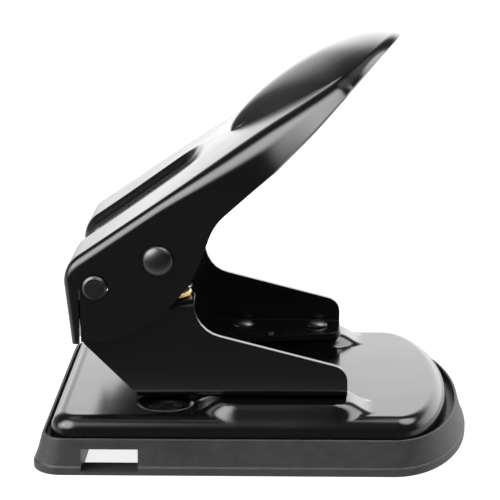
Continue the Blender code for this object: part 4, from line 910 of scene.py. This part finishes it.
def plate_mesh():
    """The plate as a closed shell, outside and inside, joined at its foot.

    Skirt, shoulder and flat top come from one outline that is drawn in, on a quarter circle at the
    shoulder; the relief is added to every height.
    """
    half = PLATE_HIGH.y
    flat_draw = PLATE_DRAFT + PLATE_SHOULDER
    middle = dense(PLATE_LOW.x + PLATE_CORNER, PLATE_HIGH.x - PLATE_BOW, PLATE_ROW_SPACING,
                   DIE_PLACE[0] - FINE_BEFORE_DIE, PLATFORM_LEFT + FINE_PAST_RISER,
                   PLATE_FINE_ROW_SPACING)[1:]
    half_y = dense(0, half - flat_draw, PLATE_COLUMN_SPACING,
                   PLATFORM_INNER - FINE_INSIDE_PLATFORM, half - flat_draw, PLATE_FINE_COLUMN_SPACING)
    inner_shares = half_y / (half - flat_draw)
    inner_shares = np.concatenate([-inner_shares[:0:-1], inner_shares])
    shares = np.concatenate([[-1.0], inner_shares, [1.0]])

    def outline(draw):
        return bowed_ring(PLATE_LOW.x, PLATE_HIGH.x, half, PLATE_CORNER, PLATE_BOW, draw, middle)

    def ring(draw, height):
        loop = whole_loop(outline(draw), inner_shares)
        return np.column_stack([loop, height + plate_relief(loop[:, 0], loop[:, 1])])

    def shell(inset):
        radius = PLATE_SHOULDER - inset
        spring_line = PLATE_TOP - PLATE_SHOULDER
        rings = [ring(inset, PLATE_LOW.z)]
        for angle in np.linspace(0, np.pi / 2, SHOULDER_STEPS):
            rings.append(ring(inset + PLATE_DRAFT + radius * (1 - math.cos(angle)),
                              spring_line + radius * math.sin(angle)))
        edge = outline(flat_draw)
        x = np.broadcast_to(edge[:, :1], (len(edge), len(shares)))
        y = -edge[:, 1:] * shares[None, :]
        return np.stack(rings), np.stack([x, y, PLATE_TOP - inset + plate_relief(x, y)], axis=-1)

    outer, outer_top = shell(0.0)
    inner, inner_top = shell(PLATE_SHEET)
    foot = np.stack([inner[0], outer[0]])
    grids = [(outer, True, False), (outer_top, False, True), (foot, True, False),
             (inner, True, True), (inner_top, False, False)]
    return mesh_from_grids("plate_shell", grids)


def build_plate(material):
    """The base plate with the seats of its dies and the rivets' holes."""
    plate = make_piece("plate_pressing", plate_mesh())
    head_seat = PLATE_TOP - DISH_DEPTH - DIE_HEAD - SEAT_GAP
    body_radius = DIE_BODY + SEAT_GAP
    head_radius = (DIE_HIGH.x - DIE_LOW.x) / 2 + SEAT_GAP
    seat = [(body_radius, DIE_LOW.z - CUT_OVERRUN), (body_radius, head_seat),
            (head_radius, head_seat), (head_radius, PLATE_TOP + CUT_OVERRUN)]
    profiles = [(seat, (DIE_PLACE[0], side * DIE_PLACE[1])) for side in SIDES.values()]
    for name in RIVETS:
        hole = [(RIVET_SHANK + SEAT_GAP, PLATE_TOP - PLATE_SHEET - CUT_OVERRUN),
                (RIVET_SHANK + SEAT_GAP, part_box(name)[1].z)]
        profiles.append((hole, upright_axis(name)))
    holes = [turned_points(profile, SMALL_TURN_STEPS) + np.array([x, y, 0]) for profile, (x, y) in profiles]
    boolean(plate, make_piece("holes", capped_mesh("holes", holes)))
    shade(plate)
    finish_piece(plate, material, "stand", "base_plate")


def tray_loop(height, inset):
    """The tray's outline at a height as a closed loop.

    Its ends and sides are drawn in by the inset and, above the step, by a taper with the height.
    """
    above = max(0.0, height - TRAY_STEP_HEIGHT) / (TRAY_HEIGHT - TRAY_STEP_HEIGHT)
    end = inset + TRAY_END_TAPER * above
    side = inset + TRAY_SIDE_TAPER * above
    corner = max(TRAY_CORNER - side, TRAY_CORNER * LEAST_CORNER_SHARE)
    half_loop = bowed_ring(TRAY_LOW.x + end, TRAY_HIGH.x - end, TRAY_HIGH.y - side, corner, TRAY_BOW - end)
    loop = whole_loop(half_loop)
    return np.column_stack([loop, np.full(len(loop), height)])


def build_tray(material):
    """The moulded tray: rings from the foot over the rim to the cavity's floor, then tunnel and slot.

    Foot, rim and step are quarter circles and an S-curve of (height, inset) pairs.
    """
    ledge = TRAY_RIM + TRAY_LEDGE
    rim_round = TRAY_RIM * TRAY_RIM_ROUND_SHARE
    curve = list(zip(1 - np.cos(QUARTER_TURN), 1 - np.sin(QUARTER_TURN)))
    levels = [(TRAY_FOOT_ROUND * rise, TRAY_FOOT_ROUND * fall) for rise, fall in curve]
    levels += [(TRAY_STEP_HEIGHT + TRAY_STEP * up, TRAY_STEP * inward) for up, inward in STEP_CURVE_SHARES]
    levels += [(TRAY_HEIGHT - rim_round * fall, TRAY_STEP + rim_round * rise) for rise, fall in curve]
    levels += [(TRAY_HEIGHT - rim_round * rise, TRAY_RIM - rim_round * fall) for rise, fall in curve]
    levels += [(TRAY_LEDGE_HEIGHT, TRAY_RIM), (TRAY_LEDGE_HEIGHT, ledge),
               (TRAY_FLOOR, ledge + TRAY_CAVITY_DRAFT)]
    rings = np.stack([tray_loop(height, inset) for height, inset in levels])
    tray = make_piece("tray_moulding", capped_mesh("tray_body", [rings]))
    half = TRAY_HIGH.y
    tunnel_half = half - ledge
    right = SLOT_LEFT + SLOT_WIDTH
    top = SLOT_SILL + SLOT_HEIGHT
    tunnel = block((SLOT_LEFT - SLOT_WALL, -tunnel_half, TRAY_FLOOR / 2),
                   (right + SLOT_WALL, tunnel_half, TRAY_LEDGE_HEIGHT - SEAT_GAP))
    boolean(tray, tunnel, "UNION")
    boolean(tray, block((SLOT_LEFT, -half - CUT_OVERRUN, SLOT_SILL), (right, half + CUT_OVERRUN, top)))
    boolean(tray, block((SLOT_LEFT, -half + SLOT_LIP, -CUT_OVERRUN), (right, half - SLOT_LIP, top)))
    shade(tray)
    finish_piece(tray, material, "tray", "base_tray")


def build_bracket(name, material):
    """A folded bracket: the construction's sheet, its loose triangles merged and its cut edges rounded."""
    mesh = NODES[name].data.copy()
    builder = bmesh.new()
    builder.from_mesh(mesh)
    bmesh.ops.remove_doubles(builder, verts=builder.verts, dist=MERGE_DISTANCE)
    bmesh.ops.dissolve_limit(builder, angle_limit=FLAT_WITHIN, verts=builder.verts, edges=builder.edges)
    builder.to_mesh(mesh)
    builder.free()
    bracket = make_piece(f"{name}_pressing", mesh)
    round_edges(bracket, BRACKET_EDGE_ROUND, BRACKET_CUT_ANGLE)
    shade(bracket)
    finish_piece(bracket, material, "stand", name)


def turned_piece(name, profile, place, turned_to, material, body, steps=TURN_STEPS):
    """A blackened piece turned from a profile of (radius, height) with a cap at either end.

    It stands about Z or, with +1 or -1, lies along Y pointing that way.
    """
    points = turned_points(profile, steps)
    if turned_to:
        x, y, z = np.moveaxis(points, -1, 0)
        points = np.stack([x, z * turned_to, -y * turned_to], axis=-1)
    item = make_piece(f"{name}_turned", capped_mesh(f"{name}_turned", [points + np.array(place)]))
    round_edges(item, TURNED_EDGE_ROUND, TURNED_EDGE_ANGLE, 2)
    shade(item)
    finish_piece(item, material, body, name)


def dome(radius, foot, height, steps):
    """A quarter ellipse of (radius, height) points from the rim of a dome to just short of its pole."""
    angle = np.linspace(0, np.pi / 2, steps, endpoint=False)
    return list(zip(radius * np.cos(angle), foot + height * np.sin(angle)))


def build_caps(material):
    """The domed caps on the drive shaft's ends, each with its blind bore."""
    start = WALL_OUTER + SEAT_GAP
    bore = DRIVE_RADIUS + SEAT_GAP
    deep = start + CAP_BORE_DEPTH
    profile = [(bore * CAP_BORE_POINT_SHARE, deep), (bore, deep), (bore, start),
               (CAP_RADIUS - CAP_EDGE, start), (CAP_RADIUS, start + CAP_EDGE)]
    profile += dome(CAP_RADIUS, start + CAP_SKIRT, CAP_HEIGHT - CAP_SKIRT, CAP_DOME_STEPS)
    place = (HINGE[0] + DRIVE_PLACE[0], 0, HINGE[2] + DRIVE_PLACE[1])
    for word, side in SIDES.items():
        turned_piece(f"shaft_cap_{word}", profile, place, side, material, "lever_body")


def build_pivot_shaft(material):
    """The pivot shaft with chamfered flat ends and the clips' grooves, the same to both sides."""
    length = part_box("pivot_shaft")[1].y
    clip_low, clip_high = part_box("pivot_clip_far")
    groove_radius = PIVOT_RADIUS - PIVOT_GROOVE
    half = [(PIVOT_RADIUS, clip_low.y - SEAT_GAP), (groove_radius, clip_low.y - SEAT_GAP),
            (groove_radius, clip_high.y + SEAT_GAP), (PIVOT_RADIUS, clip_high.y + SEAT_GAP),
            (PIVOT_RADIUS, length - PIVOT_CHAMFER), (PIVOT_RADIUS - PIVOT_CHAMFER, length)]
    profile = [(radius, -far) for radius, far in reversed(half)] + half
    turned_piece("pivot_shaft", profile, tuple(HINGE), 1, material, "stand")


def build_rivets(material):
    """The rivets: formed tail, shank and low domed head."""
    for name in RIVETS:
        low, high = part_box(name)
        head = (high.x - low.x) / 2
        tail = low.z + RIVET_TAIL_HEIGHT
        seat = high.z - RIVET_HEAD_HEIGHT
        profile = [(RIVET_SHANK, low.z), (RIVET_TAIL, tail), (RIVET_SHANK, tail), (RIVET_SHANK, seat)]
        profile += dome(head, seat, RIVET_HEAD_HEIGHT, RIVET_DOME_STEPS)
        turned_piece(name, profile, (*upright_axis(name), 0), 0, material, "stand", SMALL_TURN_STEPS)


def tube(path, radius):
    """A round wire along a path: rows follow the path, columns go round it.

    Each ring is square to the path, in the directions level across it and up; where the path stands
    upright, across is Y.
    """
    along = np.gradient(path, axis=0)
    along /= np.linalg.norm(along, axis=1)[:, None]
    across = np.cross(along, np.array([0.0, 0.0, 1.0]))
    level = np.linalg.norm(across, axis=1)[:, None]
    sideways = across / np.maximum(level, MERGE_DISTANCE)
    across = np.where(level > LEAST_SIDEWAYS, sideways, np.array([0.0, 1.0, 0.0]))
    up = np.cross(across, along)
    angle = 2 * np.pi * np.arange(WIRE_SIDES) / WIRE_SIDES
    ring = across[:, None] * np.cos(angle)[None, :, None] + up[:, None] * np.sin(angle)[None, :, None]
    return path[:, None] + radius * ring


def build_springs(material):
    """The return springs: round wire along a helix with a short upright end below and above.
    """
    for word, side in SIDES.items():
        low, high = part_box(f"return_spring_{word}")
        steps = SPRING_TURNS * SPRING_STEPS
        turn = 2 * np.pi * np.arange(steps + 1) / SPRING_STEPS
        rise = np.linspace(low.z + SPRING_WIRE, high.z - SPRING_WIRE, steps + 1)
        coil = np.stack([SPRING_RADIUS * np.cos(turn), SPRING_RADIUS * np.sin(turn), rise], axis=-1)
        path = np.concatenate([[(SPRING_RADIUS, 0, low.z)], coil, [(SPRING_RADIUS, 0, high.z)]])
        points = tube(path + np.array([DIE_PLACE[0], side * DIE_PLACE[1], 0]), SPRING_WIRE / 2)
        spring = make_piece(f"return_spring_{word}_coil", capped_mesh("coil", [points], True))
        shade(spring)
        finish_piece(spring, material, "stand", f"return_spring_{word}")
        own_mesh(spring)


def new_material(name):
    """A new material, its board and the object's own coordinates."""
    material = bpy.data.materials.new(name)
    board = Board(material)
    return material, board, board.node("ShaderNodeTexCoord", output="Object")


def enamel(name):
    """Black stoved enamel: fine orange peel, faint handling marks and slightly uneven gloss."""
    material, board, place = new_material(name)
    peel = board.noise(place, scale=520.0, detail=2.0)
    haze = board.noise(place, scale=46.0, detail=4.0)
    fine = board.noise(place, scale=2600.0, detail=1.0)
    normal = board.bump(peel + fine * FINE_PEEL_SHARE, strength=0.035, distance=0.0002)
    board.feed(SURFACE, {"Base Color": ENAMEL_BLACK, "IOR": ENAMEL_IOR, "Normal": normal,
                         "Roughness": haze * ENAMEL_HAZE + ENAMEL_ROUGHNESS})
    return material


def moulded_plastic(name):
    """Dark grey plastic with a fine spark-eroded grain and slight mottling."""
    material, board, place = new_material(name)
    grain = board.node("ShaderNodeTexVoronoi", None, {"Vector": place, "Scale": 1500.0})
    mottle = board.noise(place, scale=260.0, detail=3.0)
    broad = board.noise(place, scale=30.0, detail=2.0)
    tone = board.mix(mottle * MOTTLE_SHARE + broad * (1 - MOTTLE_SHARE), PLASTIC_DARK, PLASTIC_LIGHT)
    normal = board.bump(grain + mottle * MOTTLE_RELIEF, strength=0.7, distance=0.0001)
    board.feed(SURFACE, {"Base Color": tone, "Normal": normal,
                         "Roughness": mottle * PLASTIC_UNEVENNESS + PLASTIC_ROUGHNESS})
    return material


def metal(name, colour, roughness, lines, depth):
    """A metal with tooling lines, as cells a metre along each axis, and patches of slightly other gloss."""
    material, board, place = new_material(name)
    stretched = board.node("ShaderNodeMapping", None, {"Vector": place, "Scale": lines})
    scratch = board.noise(stretched, scale=1.0, detail=3.0)
    patch = board.noise(place, scale=240.0, detail=3.0)
    dark = [value * METAL_DARK_SHARE for value in colour]
    tone = board.mix(patch, (*dark, 1.0), (*colour, 1.0))
    normal = board.bump(scratch, strength=depth, distance=0.0001)
    board.feed(SURFACE, {"Base Color": tone, "Metallic": 1.0, "Normal": normal,
                         "Roughness": patch * METAL_UNEVENNESS + (roughness - METAL_UNEVENNESS / 2)})
    return material


def build_camera():
    """The camera at the photograph's viewpoint."""
    data = bpy.data.cameras.new("camera")
    data.lens = CAMERA_LENS
    data.sensor_width = CAMERA_SENSOR
    data.clip_start = CAMERA_NEAR
    data.clip_end = CAMERA_FAR
    camera = bpy.data.objects.new("camera", data)
    camera.location = CAMERA_PLACE
    camera.rotation_euler = (CAMERA_TILT, 0, CAMERA_TURN)
    bpy.context.scene.collection.objects.link(camera)
    bpy.context.scene.camera = camera


def build_world():
    """White to the camera, an even soft light for matt surfaces and a studio for glossy ones.

    That is a bright backdrop low behind the object, lower and dimmer to the left, with a broad key
    box at the upper left, a low box at the left, one at the upper right, a weak one overhead and a
    dim front.
    """
    world = bpy.data.worlds.new("studio")
    bpy.context.scene.world = world
    board = Board(world)
    direction = board.node("ShaderNodeTexCoord", output="Generated")
    x, y, z = board.node("ShaderNodeSeparateXYZ", None, {0: direction}, ("X", "Y", "Z"))
    beside = 1 - board.step(x, *BESIDE_EDGE)
    level = BACKDROP_STRENGTH - beside * BESIDE_DIMMER
    beside_top = board.step(z, *BESIDE_TOP_EDGE) * beside * BESIDE_TOP_DIMMER
    height = level - beside_top - board.step(z, *BACKDROP_TOP_EDGE) * (level - beside * BESIDE_TOP_DIMMER)
    left_end = board.step(x, *LEFT_END_EDGE) * (1 - LEFT_END_SHARE) + LEFT_END_SHARE
    gloss = board.step(y, *BEHIND_EDGE) * height * left_end
    for box in (KEY_BOX, LOW_LEFT_BOX, UPPER_RIGHT_BOX, OVERHEAD_BOX):
        gloss = gloss + board.softbox(direction, **box)
    camera_ray, glossy_ray = board.node("ShaderNodeLightPath", output=("Is Camera Ray", "Is Glossy Ray"))
    soft = glossy_ray * (gloss + FRONT_FILL) + (1 - glossy_ray) * MATT_FILL
    board.feed("Background", {"Color": (1, 1, 1, 1), "Strength": camera_ray + (1 - camera_ray) * soft})


def build_floor():
    """A white floor that keeps a faint shadow and is bright to glossy surfaces only behind the object."""
    ends = (-FLOOR_REACH, FLOOR_REACH)
    corners = np.array([[(x, y, 0.0) for x in ends] for y in ends])
    floor = make_piece("floor", mesh_from_grids("floor", [(corners, False, False)]))
    material, board, place = new_material("white_floor")
    behind = board.step(board.node("ShaderNodeSeparateXYZ", None, {0: place}, "Y"), *FLOOR_BEHIND_EDGE)
    camera_ray, glossy_ray = board.node("ShaderNodeLightPath", output=("Is Camera Ray", "Is Glossy Ray"))
    strength = camera_ray * FLOOR_SEEN + glossy_ray * (behind + FLOOR_GLOSS_IN_FRONT)
    seen = board.node("ShaderNodeEmission", None, {"Strength": strength})
    lit = (1 - glossy_ray) * FLOOR_SHADE
    white = board.node("ShaderNodeCombineColor", None, {0: lit, 1: lit, 2: lit})
    board.feed(SURFACE, {"Base Color": white, "Roughness": FLOOR_ROUGHNESS, "Specular IOR Level": 0.0})
    shadow = Wire(board, board.tree.nodes[SURFACE].outputs[0])
    both = board.node("ShaderNodeAddShader", None, {0: seen, 1: shadow})
    board.feed("Material Output", {"Surface": both})
    floor.data.materials.append(material)


def lamp(name, place, size, power):
    """A square soft box aimed at the object's middle that lights matt surfaces."""
    data = bpy.data.lights.new(name, "AREA")
    data.size = size
    data.energy = power
    item = bpy.data.objects.new(name, data)
    item.location = place
    aim = (CAD_LOW + CAD_HIGH) / 2 - Vector(place)
    item.rotation_euler = aim.to_track_quat("-Z", "Y").to_euler()
    item.visible_glossy = False
    bpy.context.scene.collection.objects.link(item)


bpy.context.scene.view_settings.view_transform = "Standard"
build_camera()
build_world()
build_floor()
for lamp_name, lamp_values in LAMPS.items():
    lamp(lamp_name, **lamp_values)

black = enamel("black_enamel")
grey = moulded_plastic("grained_plastic")
dark = metal("black_oxide_steel", (0.10, 0.098, 0.098), roughness=0.38, lines=(900, 900, 900), depth=0.1)
steel = metal("plated_steel", (0.62, 0.62, 0.64), roughness=0.26, lines=(900, 900, 900), depth=0.1)
hard = metal("ground_steel", (0.50, 0.50, 0.52), roughness=0.24, lines=(60, 2400, 2400), depth=0.2)
brass = metal("turned_brass", (0.72, 0.50, 0.20), roughness=0.28, lines=(300, 300, 4000), depth=0.2)
wire = metal("spring_steel", (0.55, 0.56, 0.60), roughness=0.30, lines=(1500, 1500, 1500), depth=0.15)
SLOT_MATERIALS = {"satin_black_paint": black, "grey_plastic": grey, "bright_steel": steel,
                  "blackened_steel": dark, "ground_steel": hard, "brass": brass, "spring_wire": wire}

build_lever(black)
build_plate(black)
build_tray(grey)
for word in SIDES:
    build_bracket(f"bracket_{word}", black)
build_caps(dark)
build_pivot_shaft(dark)
build_rivets(dark)
build_springs(wire)

for subpart in frame["record"]["subparts"]:
    kept = NODES[subpart["node"]]
    if not kept.hide_render:
        kept.data.materials.clear()
        kept.data.materials.append(SLOT_MATERIALS[subpart["material_slot"]])
